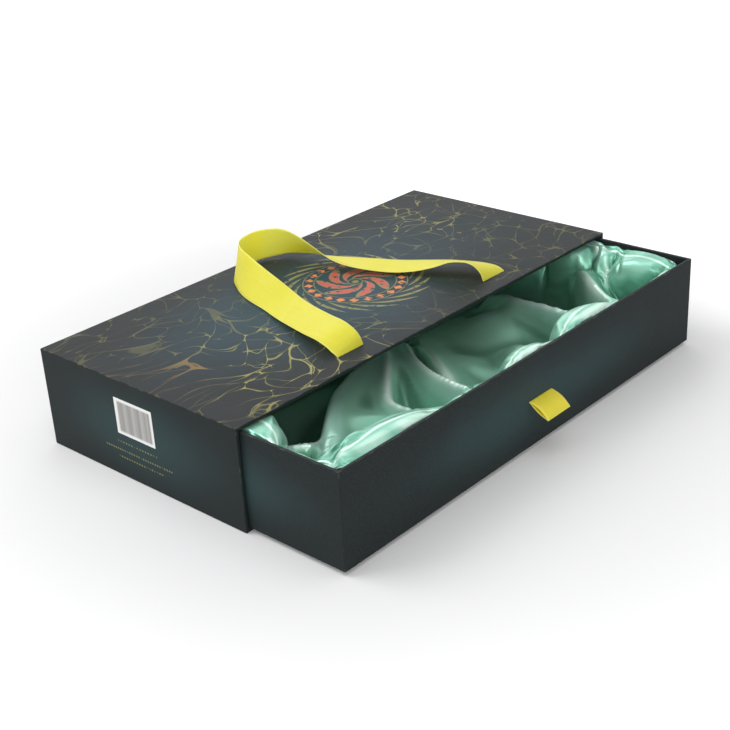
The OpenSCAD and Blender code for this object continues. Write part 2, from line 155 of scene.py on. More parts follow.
# The satin's long folds: the width of each one's slope on the left and on the right of its run, a
# sharpness (2 is round), how strong its crest is, both in its rise and in the painted highlight
# along it, and its line of places from end to end. Then the broad mounds of its floor, each a place
# with its height and radius, the floor's slow waves, each a height with its turn to a millimetre
# along the tray and across it, and how far the floor is lifted. Lengths are in millimetres. The
# floor starts at a share of the wall's rings and is full a further share on, and a mound or a fold
# rises fully some rings in.
FOLDS = [
    (14, 14, 4.0, 0.0, [(-187, -160, 64), (-166, -152, 66), (-146, -156, 66.5), (-118, -163, 66),
                        (-100, -169, 65)]),
    (8, 26, 2.4, 0.35, [(-180, -155, 62), (-172, -143, 60), (-150, -124, 57), (-122, -100, 52),
                        (-94, -78, 47), (-74, -68, 45), (-54, -60, 43), (-33, -56, 41),
                        (-8, -40, 32)]),
    (20, 8, 1.6, 1.0, [(-106, -158, 60), (-94, -143, 57), (-88, -126, 52), (-80, -112, 49),
                       (-57, -90, 46), (-31, -68, 43), (-12, -50, 38), (6, -34, 30)]),
    (16, 5, 1.6, 1.0, [(-64, -170, 64), (-58, -158, 61), (-49, -140, 56), (-38, -118, 51),
                       (-27, -98, 47), (-14, -77, 44), (2, -59, 40), (18, -42, 32)]),
    (5, 26, 1.7, 0.9, [(-57, -156, 58), (-50, -142, 54), (-26, -116, 46), (5, -76, 38),
                       (24, -50, 31)]),
    (8, 8, 1.5, 0.9, [(-157, -128, 51), (-147, -110, 46), (-160, -103, 49), (-187, -118, 60)]),
    (9, 5, 1.6, 1.0, [(88, -150, 58), (94, -134, 54), (101, -110, 49), (104, -91, 46),
                      (106, -76, 44), (114, -61, 41), (120, -42, 34)]),
    (7, 18, 2.0, 1.0, [(118, -150, 57), (131, -134, 54), (147, -116, 52), (163, -99, 50),
                       (172, -88, 45)]),
    (9, 9, 1.6, 0.8, [(168, -119, 38), (177, -109, 48), (183, -100, 57), (188, -84, 64)]),
]
MOUNDS = [(86, -70, 36, 30), (54, -116, 36, 17), (24, -96, 26, 22), (-104, -112, 38, 16),
          (0, -10, 20, 30)]
WAVES = [(1.6, 0.055, 0.031), (1.3, -0.034, 0.078), (0.6, 0.13, -0.09)]
FLOOR_LIFT = 2.0
FLOOR_FROM = 0.75
FLOOR_SPAN = 0.4
LIFT_RINGS = 4

# The satin's grid of points and its step on the flat cloth, the rings that hang down the walls, and
# the cloth's cut size. Then the tray's inside in millimetres: its middle, its half sides, the
# heights of the glued edge, the floor, the pad's top and the highest fold, the rounding of the
# cloth's corners and the inner rings over which it is lost, how far past the rim a fold may bulge
# and the cloth's least height over the pad.
CLOTH_U = 132
CLOTH_V = 78
UV_STEP = 0.0035
WALL_RINGS = 18
TRAY_Y = -79.75
RIM_X = 189.0
RIM_Y = 90.4
RIM_Z = 65.6
FLOOR_Z = 12.2
PAD_TOP = 11.2
SATIN_TOP = 68.4
CORNER_R = 16
CORNER_RINGS = 10
RIM_SLACK = 0.1
PAD_GAP = 0.2

# Profiles of the hanging cloth in millimetres: inset from the wall, and height over the floor as
# a share of the rim's height, where it swells in a full puff and where it is drawn in to the wall.
FULL_PUFF = 20 * MM
PUFF_PROFILE = np.array([[0.4, 1.0], [2, 1.03], [6, 1.055], [11, 1.055], [16, 1.035], [20, 0.99],
                         [22.5, 0.90], [22.5, 0.70], [21, 0.46], [22, 0.24], [26, 0.10],
                         [30, 0.03]])
PINCH_PROFILE = np.array([[0.4, 0.97], [0.6, 0.98], [1.0, 0.97], [2.0, 0.93], [3.6, 0.84],
                          [6, 0.71], [9, 0.54], [13, 0.36], [18, 0.20], [24, 0.08], [30, 0.03]])

# Settling: the size that it is worked out at, its frames, its gravity, the cloth, its contacts and
# the tray's, how high the tray's walls go and how far they stand off the rim. The cloth's slack
# falls from its start at the rim by one over so many rings, and counts from 1 down to 0.
SIM_SCALE = 10
CLOTH_FRAMES = 36
CLOTH_GRAVITY = 0.25
CLOTH_SETTINGS = {"quality": 6, "mass": 0.2, "air_damping": 2.0, "tension_stiffness": 15.0,
                  "compression_stiffness": 15.0, "shear_stiffness": 5.0,
                  "bending_stiffness": 0.25, "bending_stiffness_max": 8.0,
                  "tension_damping": 5.0, "compression_damping": 5.0, "shear_damping": 5.0,
                  "bending_damping": 0.5, "shrink_min": -0.01, "shrink_max": -0.20,
                  "pin_stiffness": 1.2, "vertex_group_mass": "hold",
                  "vertex_group_shrink": "ease", "vertex_group_bending": "stiff"}
CONTACT_SETTINGS = {"collision_quality": 3, "distance_min": 0.008, "use_self_collision": True,
                    "self_distance_min": 0.012, "self_friction": 2}
MOULD_SETTINGS = {"thickness_outer": 0.008, "cloth_friction": 4}
MOULD_TOP = 78.0
MOULD_GAP = (0.3, 0.35)
SLACK_START = 1.7
SLACK_RINGS = 9

# How firmly the cloth keeps its place while it settles: at its loosest, on the floor (rising over
# some rings from one ring on), in the puffs (falling over the outer rings) and on the folds' crests
# (as a bell of this width).
LOOSE_HOLD = 0.40
FLOOR_HOLD = 0.85
FLOOR_HOLD_RING = 10
FLOOR_HOLD_SPAN = 10
PUFF_HOLD = 0.62
PUFF_RINGS = 9
CREST_HOLD = 0.8
CREST_HOLD_WIDTH = 4

# The crests of the long folds after it: how near the fold's height the cloth has to be, the half
# width and the rise; the same crests carry the satin's palest painted highlight. Then, for the
# painted highlights on crests and the painted shade in hollows, the passes of smoothing that show
# the small forms and the broad ones, and the height in millimetres that counts as a full one.
RIDGE_REACH = 12.0
RIDGE_HALF_WIDTH = 2.9
RIDGE_RISE = 1.9
NEAR_PASSES = (1, 12)
CREST_NEAR = 1.6
FAR_PASSES = (8, 110)
CREST_FAR = 18.0

# The satin's painted light by place: the ring where the puffs turn, which gets a painted highlight,
# the full puffs at the front that get painted highlights where the light meets them (place and
# radius), and how far back the sleeve's shade begins and is full, where the loose satin is painted
# paler.
PUFF_TURN = 4.4
LIT_PUFFS = [(-154, -158, 20), (-116, -160, 25), (90, -163, 24)]
SHADE_Y = (-0.135, -0.080)

# Printed top: places with their radii where painted shade darkens the ground, where the veins are
# bright, where they are faint round the medallion and where they are copper, all in millimetres.
# Then the nets of veins: cells to a metre, a vein's half width, its swelling where three cells meet,
# how far it thins, the net's shift, the veins' curl and their strength. All nets are bent and leant
# alike.
PAINTED_SHADE_CORNER = (165, -85, 190)
BRIGHT_VEINS = [(-95, -60, 105), (95, 62, 95)]
FAINT_VEINS = (20, 0, 118)
COPPER_VEINS = (-176, -6, 50)
NETS = [(45.0, 0.018, 0.090, 0.075, 0.0, 0.012, 1.0),
        (45.0, 0.011, 0.030, 0.090, 0.0, 0.020, 0.8),
        (36.0, 0.013, 0.055, 0.090, 0.31, 0.015, 0.75)]
NET_BENDS = [(9, 0.080), (24, 0.040)]
NET_CURL_SCALE = 48
NET_LEAN = 0.45
NET_STRETCH = (0.78, 1.22, 1)

# Medallion: its middle, and its thin rings in millimetres from that. Then the rows of dots on the
# left end: each one's height, its two ends and the step from dot to dot.
MEDALLION_X = 12 * MM
MEDALLION_Y = -2 * MM
MEDALLION_RINGS = [(29.6, 30.3), (37.6, 38.4), (5.0, 5.8), (0, 2.6)]
DOT_ROWS = [(26.3, 22, -18, 2.7), (20, 36, -31, 2.3), (14.7, 24.5, -23.5, 2.5)]

# Stage: the camera's place, its azimuth, elevation and roll in degrees, and its lens. The floor's
# height and rings, its own light near the box and how much more it has far off, the light of the
# room, and the lamps, each with its place, aim, two sides and power.
CAMERA_PLACE = (-0.641305, -0.61863, 0.438993)
CAMERA_TURN = (-46.88, 25.807, -3.371)
CAMERA_LENS = 65.98
CAMERA_SENSOR = 36
GROUND_Z = -0.1 * MM
GROUND_RINGS = [0.02, *np.linspace(0.5, 8, 8)]
GROUND_SIDES = 64
FLOOR_GLOW = 0.055
FAR_GLOW = 0.57
WORLD_LIGHT = 0.60
LAMPS = [
    ("key", (-0.75, 0.75, 1.45), (0, -0.03, 0.03), (1.1, 1.1), 14.5),
    ("overhead", (-0.05, -0.35, 1.55), (0, -0.08, 0.03), (1.1, 0.9), 4),
    ("front", (-1.3, -1.45, 0.8), (0, -0.05, 0.03), (1.2, 0.9), 11),
    ("side", (1.0, 1.1, 0.9), (0, -0.05, 0.03), (1.2, 0.8), 3),
]


# ---- meshes ----

def add_mesh(name, points, faces, smooth=True):
    """A mesh object at the origin from points in metres and faces by point number."""
    mesh = bpy.data.meshes.new(name)
    mesh.from_pydata(np.asarray(points, float).tolist(), [], [list(f) for f in faces])
    mesh.validate()
    mesh.shade_smooth() if smooth else mesh.shade_flat()
    piece = bpy.data.objects.new(name, mesh)
    bpy.context.scene.collection.objects.link(piece)
    return piece


def quads(rows, columns, close_rows=False, close_columns=False):
    """Four-sided faces between neighbours on a grid of points numbered row by row."""
    last_row = rows if close_rows else rows - 1
    last_column = columns if close_columns else columns - 1
    row, column = np.meshgrid(np.arange(last_row), np.arange(last_column), indexing="ij")
    next_row = (row + 1) % rows
    next_column = (column + 1) % columns
    corners = [row * columns + column, row * columns + next_column,
               next_row * columns + next_column, next_row * columns + column]
    return np.stack([c.ravel() for c in corners], axis=1)


def capped_tube(rows, columns):
    """Faces of a tube of closed loops of points, numbered loop by loop, and over its two ends."""
    faces = quads(rows, columns, close_columns=True).tolist()
    faces.append(list(range(columns))[::-1])
    faces.append(list(range((rows - 1) * columns, rows * columns)))
    return faces


def set_uv(piece, uv):
    """Gives every corner of a face the pair of its point, so a pattern follows the surface."""
    mesh = piece.data
    layer = mesh.uv_layers.new(name="cloth")
    corner_points = np.zeros(len(mesh.loops), np.int32)
    mesh.loops.foreach_get("vertex_index", corner_points)
    layer.data.foreach_set("uv", np.asarray(uv, np.float32)[corner_points].ravel())


def points_of(piece, field="co"):
    """Rows of the places, or the normals, of a mesh's points."""
    rows = np.zeros(len(piece.data.vertices) * 3)
    piece.data.vertices.foreach_get(field, rows)
    return rows.reshape(-1, 3)


def mark_points(piece, name, values):
    """Gives every point a number that a material reads by this name."""
    marks = piece.data.attributes.new(name, "FLOAT", "POINT")
    marks.data.foreach_set("value", np.asarray(values, np.float32))


def face_out(piece, merge=True):
    """Turns every face of a closed mesh outwards, as a rule after merging its doubled points."""
    shape = bmesh.new()
    shape.from_mesh(piece.data)
    if merge:
        bmesh.ops.remove_doubles(shape, verts=shape.verts, dist=1e-7)
    bmesh.ops.recalc_face_normals(shape, faces=shape.faces)
    shape.to_mesh(piece.data)
    shape.free()


def face_up(piece):
    """Turns an open sheet so that on the whole it faces up."""
    shape = bmesh.new()
    shape.from_mesh(piece.data)
    bmesh.ops.recalc_face_normals(shape, faces=shape.faces)
    if sum(face.normal.z * face.calc_area() for face in shape.faces) < 0:
        bmesh.ops.reverse_faces(shape, faces=shape.faces)
    shape.to_mesh(piece.data)
    shape.free()


def apply_modifiers(piece):
    """Puts the finished shape of a piece into its mesh and removes its modifiers."""
    graph = bpy.context.evaluated_depsgraph_get()
    finished = bpy.data.meshes.new_from_object(piece.evaluated_get(graph))
    piece.modifiers.clear()
    old = piece.data
    piece.data = finished
    bpy.data.meshes.remove(old)


def cut_blocks(piece, blocks):
    """Cuts blocks, each a lowest and a highest corner, out of a closed mesh."""
    for low, high in blocks:
        low, high = np.array(low), np.array(high)
        unit = np.array([[x, y, z] for x in (0, 1) for y in (0, 1) for z in (0, 1)])
        faces = [(0, 1, 3, 2), (4, 6, 7, 5), (0, 4, 5, 1), (2, 3, 7, 6), (0, 2, 6, 4), (1, 5, 7, 3)]
        cutter = add_mesh("cutter", low + unit * (high - low), faces, smooth=False)
        cut = piece.modifiers.new("cut", "BOOLEAN")
        cut.operation = "DIFFERENCE"
        cut.solver = "EXACT"
        cut.object = cutter
        apply_modifiers(piece)
        bpy.data.objects.remove(cutter)


def paint(piece, material):
    """Gives a piece one material."""
    piece.data.materials.clear()
    piece.data.materials.append(material)


def dress(piece, material, body, slot, *nodes):
    """Finishes a new piece: its material, its body and the CAD nodes that it stands for, which it
    hides. The slot is not used.
    """
    paint(piece, material)
    if body:
        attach(piece, body)
    if nodes:
        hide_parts(*nodes)
    return piece


def catmull(values, at):
    """A smooth curve through rows of values, each span led by its two neighbours, at row shares."""
    first = np.clip(np.floor(at).astype(int), 0, len(values) - 2)
    t = (at - first)[:, None]
    a = values[np.maximum(first - 1, 0)]
    b = values[first]
    c = values[first + 1]
    d = values[np.minimum(first + 2, len(values) - 1)]
    return (2 * b + (c - a) * t + (2 * a - 5 * b + 4 * c - d) * t ** 2
            + (3 * b - a - 3 * c + d) * t ** 3) / 2


def unit_rows(rows):
    """Every row divided by its length."""
    return rows / np.linalg.norm(rows, axis=1, keepdims=True)


# ---- folded paper ----

def rounded_loops(half_a, half_b, inset, radius, steps):
    """The two sides of the points round a rectangle with quarter-circle corners, a row for each
    inset and its radius."""
    turn = (np.arange(4)[:, None] * np.pi / 2 + np.linspace(0, np.pi / 2, steps)).ravel()
    sign_a = np.repeat([1, -1, -1, 1], steps)
    sign_b = np.repeat([1, 1, -1, -1], steps)
    inset, radius = inset[:, None], radius[:, None]
    return (sign_a * (half_a - inset - radius) + radius * np.cos(turn),
            sign_b * (half_b - inset - radius) + radius * np.sin(turn))


def paper_shell(name, low, high, axis, profile, caps=()):
    """A sheet folded round the box from low to high, as rounded rectangles. They are drawn in by
    the profile's insets and follow its places along the axis, 1 for Y and 2 for Z. At each cap, a
    face closes that loop and one closes the next."""
    inset, along = np.array(profile, float).T
    middle, half = (low + high) / 2, (high - low) / 2
    side = 3 - axis
    radius = np.maximum(FOLD_R - inset, LEAST_R)
    a, b = rounded_loops(half.x, half[side], inset, radius, ARC_POINTS)
    count = a.shape[1]
    points = np.zeros((*a.shape, 3))
    points[..., 0] = middle.x + a
    points[..., side] = middle[side] + b
    points[..., axis] = along[:, None]
    faces = quads(len(inset), count, close_rows=True, close_columns=True).tolist()
    for loop in caps:
        start = loop * count
        faces = [f for f in faces if not (min(f) // count == loop and max(f) // count == loop + 1)]
        faces.append(list(range(start, start + count)))
        faces.append(list(range(start + count, start + 2 * count))[::-1])
    piece = add_mesh(name, points.reshape(-1, 3), faces, smooth=False)
    face_out(piece)
    return piece


def edge_arc(inset, along, from_angle, to_angle, radius):
    """Pairs of inset and place on part of a circle about a centre, for a folded edge."""
    angle = np.radians(np.linspace(from_angle, to_angle, ARC_POINTS))
    return [(inset + radius * math.sin(t), along + radius * math.cos(t)) for t in angle]


def sleeve_profile():
    """From the turned-in end inside the mouth, round the front edge, back along the outside to
    the back, then the sheet's hidden side all the way round again."""
    front, back = SLEEVE_LOW.y, SLEEVE_HIGH.y
    end = front + TURN_W
    r = FOLD_R
    seen = [(WALL_T, end)]
    seen += edge_arc(WALL_T - r, front + r, 90, 180, r)
    seen += edge_arc(r, front + r, 180, 270, r)
    seen += edge_arc(r, back - r, 270, 360, r)
    thin = r - PAPER_T
    hidden = edge_arc(r, back - r, 360, 270, thin)
    hidden += edge_arc(r, front + r, 270, 180, thin)
    hidden += edge_arc(WALL_T - r, front + r, 180, 90, thin)
    hidden += [(WALL_T - PAPER_T, end)]
    return seen + hidden, len(seen) - 1


def tray_profile():
    """From the end turned under the base, up the outside, over the rim and down the inside, then
    the sheet's hidden side all the way round again."""
    low, high = TRAY_LOW.z, TRAY_HIGH.z
    r = FOLD_R
    end = high - TURN_W
    seen = [(TURN_W, low)]
    seen += edge_arc(r, low + r, 180, 270, r)
    seen += edge_arc(r, high - r, 270, 360, r)
    seen += edge_arc(WALL_T - r, high - r, 0, 90, r)
    seen += [(WALL_T, end)]
    thin = r - PAPER_T
    hidden = [(WALL_T - PAPER_T, end)]
    hidden += edge_arc(WALL_T - r, high - r, 90, 0, thin)
    hidden += edge_arc(r, high - r, 360, 270, thin)
    hidden += edge_arc(r, low + r, 270, 180, thin)
    hidden += [(TURN_W, low + PAPER_T)]
    return seen + hidden


# ---- ribbons ----

def ribbon_strip(name, middles, across, width, thickness):
    """A woven strip: a flat cross-section with thicker woven edges is carried along the middles,
    its width along the given directions and its thickness square to them and to the run. Its
    points are marked 1 on the side that its normal points to. Gives the piece and its length."""
    middles = np.asarray(middles, float)
    across = unit_rows(np.asarray(across, float))
    run = unit_rows(np.gradient(middles, axis=0))
    normal = unit_rows(np.cross(run, across))
    share = np.linspace(-0.5, 0.5, RIBBON_LINES)
    half = thickness / 2 * (WEAVE_T + (1 - WEAVE_T) * (np.abs(share) > WOVEN_EDGE))
    upper = np.stack([share * width * WEAVE_W, half], axis=1)
    lower = np.stack([share[::-1] * width * WEAVE_W, -half[::-1]], axis=1)
    section = np.concatenate([[(-width / 2, 0)], upper, [(width / 2, 0)], lower])
    count = len(section)
    points = (middles[:, None] + section[:, 0][None, :, None] * across[:, None]
              + section[:, 1][None, :, None] * normal[:, None])
    piece = add_mesh(name, points.reshape(-1, 3), capped_tube(len(middles), count))
    travelled = np.concatenate([[0], np.cumsum(np.linalg.norm(np.diff(middles, axis=0), axis=1))])
    u = np.tile(section[:, 0] / width + 0.5, len(middles))
    v = np.repeat(travelled / width, count)
    set_uv(piece, np.stack([u, v], axis=1))
    face_out(piece, merge=False)
    mark_points(piece, "inner", np.tile(section[:, 1] > 0, len(middles)))
    return piece, travelled[-1]


def ribbon_x(name, line, direction, width, thickness):
    """A woven strip along a line in the tray's or the sleeve's depth, its width along X."""
    across = np.tile([direction, 0.0, 0.0], (len(line), 1))
    return ribbon_strip(name, line, across, width, thickness)


def quarter(radius, steps):
    """Reach and rise of a bend by a right angle, from its start to its end."""
    turn = np.radians(np.linspace(0, 90, steps))
    return radius * np.sin(turn), radius - radius * np.cos(turn)


def tail_line(x):
    """The middle of a handle's glued tail, from its end inside to the slit that it comes up."""
    reach, bend_rise = quarter(TAIL_BEND, 7)
    back = np.concatenate([np.linspace(TAIL_LENGTH, 2 * TAIL_BEND, 12), TAIL_BEND - reach,
                           [0, 0, 0]])
    rise = np.concatenate([np.zeros(12), bend_rise, TAIL_RISES])
    return np.stack([np.full(len(back), x), SLIT_Y + back, TAIL_Z + rise], axis=1)


def tab_line(front, length, droop):
    """The middle of the folded tab's ribbon, from inside the slit round the tip and back."""
    share = np.linspace(0, 1, 26)
    reach = length - TAB_TIP_BACK
    upper = TAB_LAYER + TAB_BELLY_UP * np.sin(np.pi * share) ** 1.2
    lower = -TAB_LAYER - TAB_BELLY_DOWN * np.sin(np.pi * share) ** 1.1
    tip = np.radians(np.linspace(80, -80, 7))
    along = np.concatenate([share * reach, reach + TAB_TIP_REACH * np.cos(tip),
                            share[::-1] * reach])
    off = np.concatenate([upper, TAB_TIP_HALF * np.sin(tip), lower[::-1]])
    off = off + TAB_BOW * np.sin(np.pi * along / length)
    y = front - TAB_ROOT - along * math.cos(droop) - off * math.sin(droop)
    z = TAB_Z - along * math.sin(droop) + off * math.cos(droop)
    inner = front + np.array(TAB_INNER)
    y = np.concatenate([inner, y, inner[::-1]])
    z = np.concatenate([np.full(2, TAB_Z + TAB_LAYER), z, np.full(2, TAB_Z - TAB_LAYER)])
    return np.stack([np.zeros(len(y)), y, z], axis=1)


def leaf_line(front, side):
    """The middle of a glued leaf of the tab, from the slit up or down the inside."""
    bend = TAB_LEAF_BEND
    reach, bend_rise = quarter(bend, 6)
    y = np.concatenate([np.linspace(front + TAB_INNER[1], TAB_LEAF_Y - 2 * bend, 5),
                        TAB_LEAF_Y - bend + reach, np.full(8, TAB_LEAF_Y)])
    rise = np.concatenate([np.full(5, TAB_LAYER), TAB_LAYER + bend_rise,
                           np.linspace(TAB_LAYER + 1.6 * bend, TAB_LEAF_LENGTH, 8)])
    return np.stack([np.zeros(len(y)), y, TAB_Z + side * rise], axis=1)


def join(name, pieces):
    """One object from several."""
    with bpy.context.temp_override(active_object=pieces[0], object=pieces[0],
                                   selected_objects=pieces, selected_editable_objects=pieces):
        bpy.ops.object.join()
    pieces[0].name = name
    pieces[0].data.name = name
    return pieces[0]


# ---- shader nodes ----

class Wire:
    """A value that runs through a material's nodes. Sums on wires put Math nodes in the tree."""

    def __init__(self, tree, socket):
        self.tree = tree
        self.socket = socket

    def math(self, operation, *others, clamp=False):
        node = self.tree.nodes.new("ShaderNodeMath")
        node.operation = operation
        node.use_clamp = clamp
        feed(self.tree, node.inputs[0], self)
        for place, other in enumerate(others):
            feed(self.tree, node.inputs[place + 1], other)
        return Wire(self.tree, node.outputs[0])

    def __add__(self, other):
        return self.math("ADD", other)

    def __sub__(self, other):
        return self.math("SUBTRACT", other)

    def __rsub__(self, other):
        return self.math("MULTIPLY", -1).math("ADD", other)

    def __mul__(self, other):
        return self.math("MULTIPLY", other)

    def __truediv__(self, other):
        return self.math("DIVIDE", other)

    def __pow__(self, other):
        return self.math("POWER", other)

    def __abs__(self):
        return self.math("ABSOLUTE")

    def most(self, other):
        return self.math("MAXIMUM", other)

    def least(self, other):
        return self.math("MINIMUM", other)

    def step(self, low, high):
        """0 below low, 1 above high and a smooth rise between them; low may be the greater."""
        node = self.tree.nodes.new("ShaderNodeMapRange")
        node.interpolation_type = "SMOOTHSTEP"
        feed(self.tree, node.inputs[0], self)
        if low > high:
            low, high = high, low
            node.inputs[3].default_value, node.inputs[4].default_value = 1, 0
        node.inputs[1].default_value = low
        node.inputs[2].default_value = high
        return Wire(self.tree, node.outputs[0])

    def band(self, low, low_full, high_full, high):
        """0 outside low and high, 1 between the full places, and smooth between them."""
        return self.step(low, low_full) * self.step(high, high_full)


def greatest(wires):
    """The greatest of several values."""
    return functools.reduce(Wire.most, wires)


def feed(tree, socket, value):
    """Joins a wire to a socket, or sets the socket to a plain value."""
    if isinstance(value, Wire):
        tree.links.new(value.socket, socket)
    else:
        socket.default_value = value


class Finish:
    """A material with its main shader, and short ways to add the nodes that drive it."""

    def __init__(self, name, **shader):
        self.material = bpy.data.materials.new(name)
        self.material.use_nodes = True
        self.tree = self.material.node_tree
        self.shader = self.tree.nodes["Principled BSDF"]
        for key, value in shader.items():
            self.shader.inputs[key.replace("_", " ")].default_value = value

    def put(self, kind, inputs=(), output=0, **settings):
        """Adds a node with its settings and inputs, and gives one of its outputs."""
        node = self.tree.nodes.new(kind)
        for key, value in settings.items():
            setattr(node, key, value)
        for key, value in dict(inputs).items():
            feed(self.tree, node.inputs[key], value)
        return Wire(self.tree, node.outputs[output])

    def place(self):
        """Object coordinates, in metres in the row frame."""
        return self.put("ShaderNodeTexCoord", output="Object")

    def uv(self):
        return self.put("ShaderNodeTexCoord", output="UV")

    def mark(self, name):
        """A number that the mesh carries for every point."""
        return self.put("ShaderNodeAttribute", output="Fac", attribute_name=name)

    def parts(self, vector):
        """The three numbers of a vector."""
        node = self.tree.nodes.new("ShaderNodeSeparateXYZ")
        feed(self.tree, node.inputs[0], vector)
        return [Wire(self.tree, out) for out in node.outputs]

    def vector(self, x, y, z):
        return self.put("ShaderNodeCombineXYZ", {0: x, 1: y, 2: z})

    def moved(self, vector, location=(0, 0, 0), rotation=(0, 0, 0), scale=(1, 1, 1)):
        return self.put("ShaderNodeMapping", {
            "Vector": vector, "Location": location, "Rotation": rotation, "Scale": scale})

    def noise(self, vector, scale, detail=2.0, roughness=0.5, output=0):
        return self.put("ShaderNodeTexNoise", {
            "Vector": vector, "Scale": scale, "Detail": detail, "Roughness": roughness},
            output=output)

    def mix(self, share, first, second):
        """Two colours mixed by a share from 0 to 1. A colour is a wire or three numbers."""
        node = self.tree.nodes.new("ShaderNodeMix")
        node.data_type = "RGBA"
        feed(self.tree, node.inputs[0], share)
        for place, colour in ((6, first), (7, second)):
            feed(self.tree, node.inputs[place],
                 colour if isinstance(colour, Wire) else (*colour, 1.0))
        return Wire(self.tree, node.outputs[2])

    def warp(self, vector, scale, amount):
        """A place pushed about by a cloud of noise."""
        cloud = self.noise(vector, scale, detail=0, output="Color")
        half = self.put("ShaderNodeVectorMath", {0: cloud, 1: (0.5, 0.5, 0.5)},
                        operation="SUBTRACT")
        push = self.put("ShaderNodeVectorMath", {0: half, "Scale": amount}, operation="SCALE")
        return self.put("ShaderNodeVectorMath", {0: vector, 1: push}, operation="ADD")

    def bump(self, height, strength, distance):
        """Raises the surface by a height from 0 to 1 over a distance in metres."""
        normal = self.put("ShaderNodeBump", {
            "Height": height, "Strength": strength, "Distance": distance}, output="Normal")
        self.use("Normal", normal)

    def use(self, socket, wire):
        feed(self.tree, self.shader.inputs[socket], wire)


# ---- materials ----

def face_distance(finish, low, high):
    """For a point on a box: its three places, how far it is from the middle of its face, as a
    share of the half sides, and how far from the nearest edge of its face, in metres."""
    middle = (low + high) / 2
    half = (high - low) / 2
    parts = finish.parts(finish.place())
    shares = [(part - middle[k]) / half[k] for k, part in enumerate(parts)]
    squares = shares[0] * shares[0] + shares[1] * shares[1] + shares[2] * shares[2]
    from_middle = (squares - 1).most(0).math("SQRT")
    gaps = [half[k] - abs(part - middle[k]) for k, part in enumerate(parts)]
    from_edge = gaps[0] + gaps[1] + gaps[2] - greatest(gaps)
    return parts, from_middle, from_edge


def veins(finish, place, scale, line, web, gaps, shift, curl):
    """Mask of a net of veins. The cells of a bent pattern of scattered seeds meet along the veins.
    line is a vein's half width, web is how much it swells where three cells meet, and gaps says
    how far a slow noise thins it till it breaks. curl is how far the veins bend aside on their
    way. Where three cells meet, the rounded distance to the seeds falls farthest below the sharp
    one, and this difference marks the knots."""
    moved = finish.moved(place, location=(shift, -shift, 0))
    bent = moved
    for bends, amount in (*NET_BENDS, (NET_CURL_SCALE, curl)):
        bent = finish.warp(bent, bends, amount)
    flat = finish.moved(bent, rotation=(0, 0, NET_LEAN), scale=NET_STRETCH)

    def cells(feature, **more):
        """A measure of the cells round scattered seeds."""
        inputs = {"Vector": flat, "Scale": scale, "Randomness": 1.0, **more}
        return finish.put("ShaderNodeTexVoronoi", inputs, voronoi_dimensions="2D", feature=feature)

    knot = (cells("F1") - cells("SMOOTH_F1", Smoothness=0.8)).step(0.108, 0.170)
    breaks = finish.noise(moved, 40, detail=1)
    width = knot * web + line + (breaks - 0.5) * gaps
    mask = (width - cells("DISTANCE_TO_EDGE")).step(0.0, 0.018)
    return mask * (knot * 0.6 + 0.64).least(1)


def spot(x, y, middle_x, middle_y, radius):
    """1 at a place seen from above, falling smoothly to 0 at a radius, both in millimetres."""
    off_x = (x - middle_x * MM) / (radius * MM)
    off_y = (y - middle_y * MM) / (radius * MM)
    return (off_x * off_x + off_y * off_y).step(1.0, 0.0)


def medallion(x, y):
    """A printed medallion in rings about its middle: a boss, a whirl of tapered petals, a band of
    lozenges, a ring and a fringe of curved leaves. Gives masks for coral, orange and gold."""
    radius = (x * x + y * y).math("SQRT") * 1000
    angle = y.math("ARCTAN2", x)

    def spokes(count, twist):
        """Distance from the nearest of so many spokes that lean with the radius, 0 to 0.5."""
        lean = radius.math("LOGARITHM", math.e) * twist
        turn = ((angle + lean) * (count / (2 * math.pi))).math("FRACT")
        return abs(turn - 0.5)

    def between(low, high, soft=0.4):
        """1 between two radii, with soft edges."""
        return radius.band(low - soft, low + soft, high - soft, high + soft)

    def tapered(width, middle, half, power):
        """Half width of a petal or leaf that is widest at its middle radius."""
        return width - (abs(radius - middle) / half) ** power * width

    petal = tapered(0.36, 17, 12, 1.6) - spokes(7, 1.1)
    coral = petal.step(0.03, 0.07) * between(8, 27)
    rim = petal.step(-0.05, -0.02) * between(6, 29)
    leaf = (tapered(0.26, 47, 9, 1.4) - spokes(18, -2.2)).step(0.0, 0.05) * between(39, 56)
    lozenge = (0.40 - spokes(22, 0) - abs(radius - 34) * 0.11).step(0.0, 0.04)
    orange = lozenge * between(30.8, 37.2)
    rings = functools.reduce(Wire.__add__, [between(*ring) for ring in MEDALLION_RINGS])
    return coral, orange, (rings + rim + leaf).least(1)


def dot_rows(y, z):
    """Three rows of small lozenges of uneven length on the left end, below the label."""
    rows = []
    for height, back, front, pitch in DOT_ROWS:
        beat = (y * (1000 / pitch) + 0.5).math("FRACT")
        side = abs(beat - 0.5) * pitch
        rise = abs(z * 1000 - height)
        inside = y.band((front - 0.2) * MM, front * MM, (back - 0.2) * MM, back * MM)
        rows.append((0.92 - side * 0.9 - rise).step(0, 0.25) * inside)
    return functools.reduce(Wire.__add__, rows).least(1)


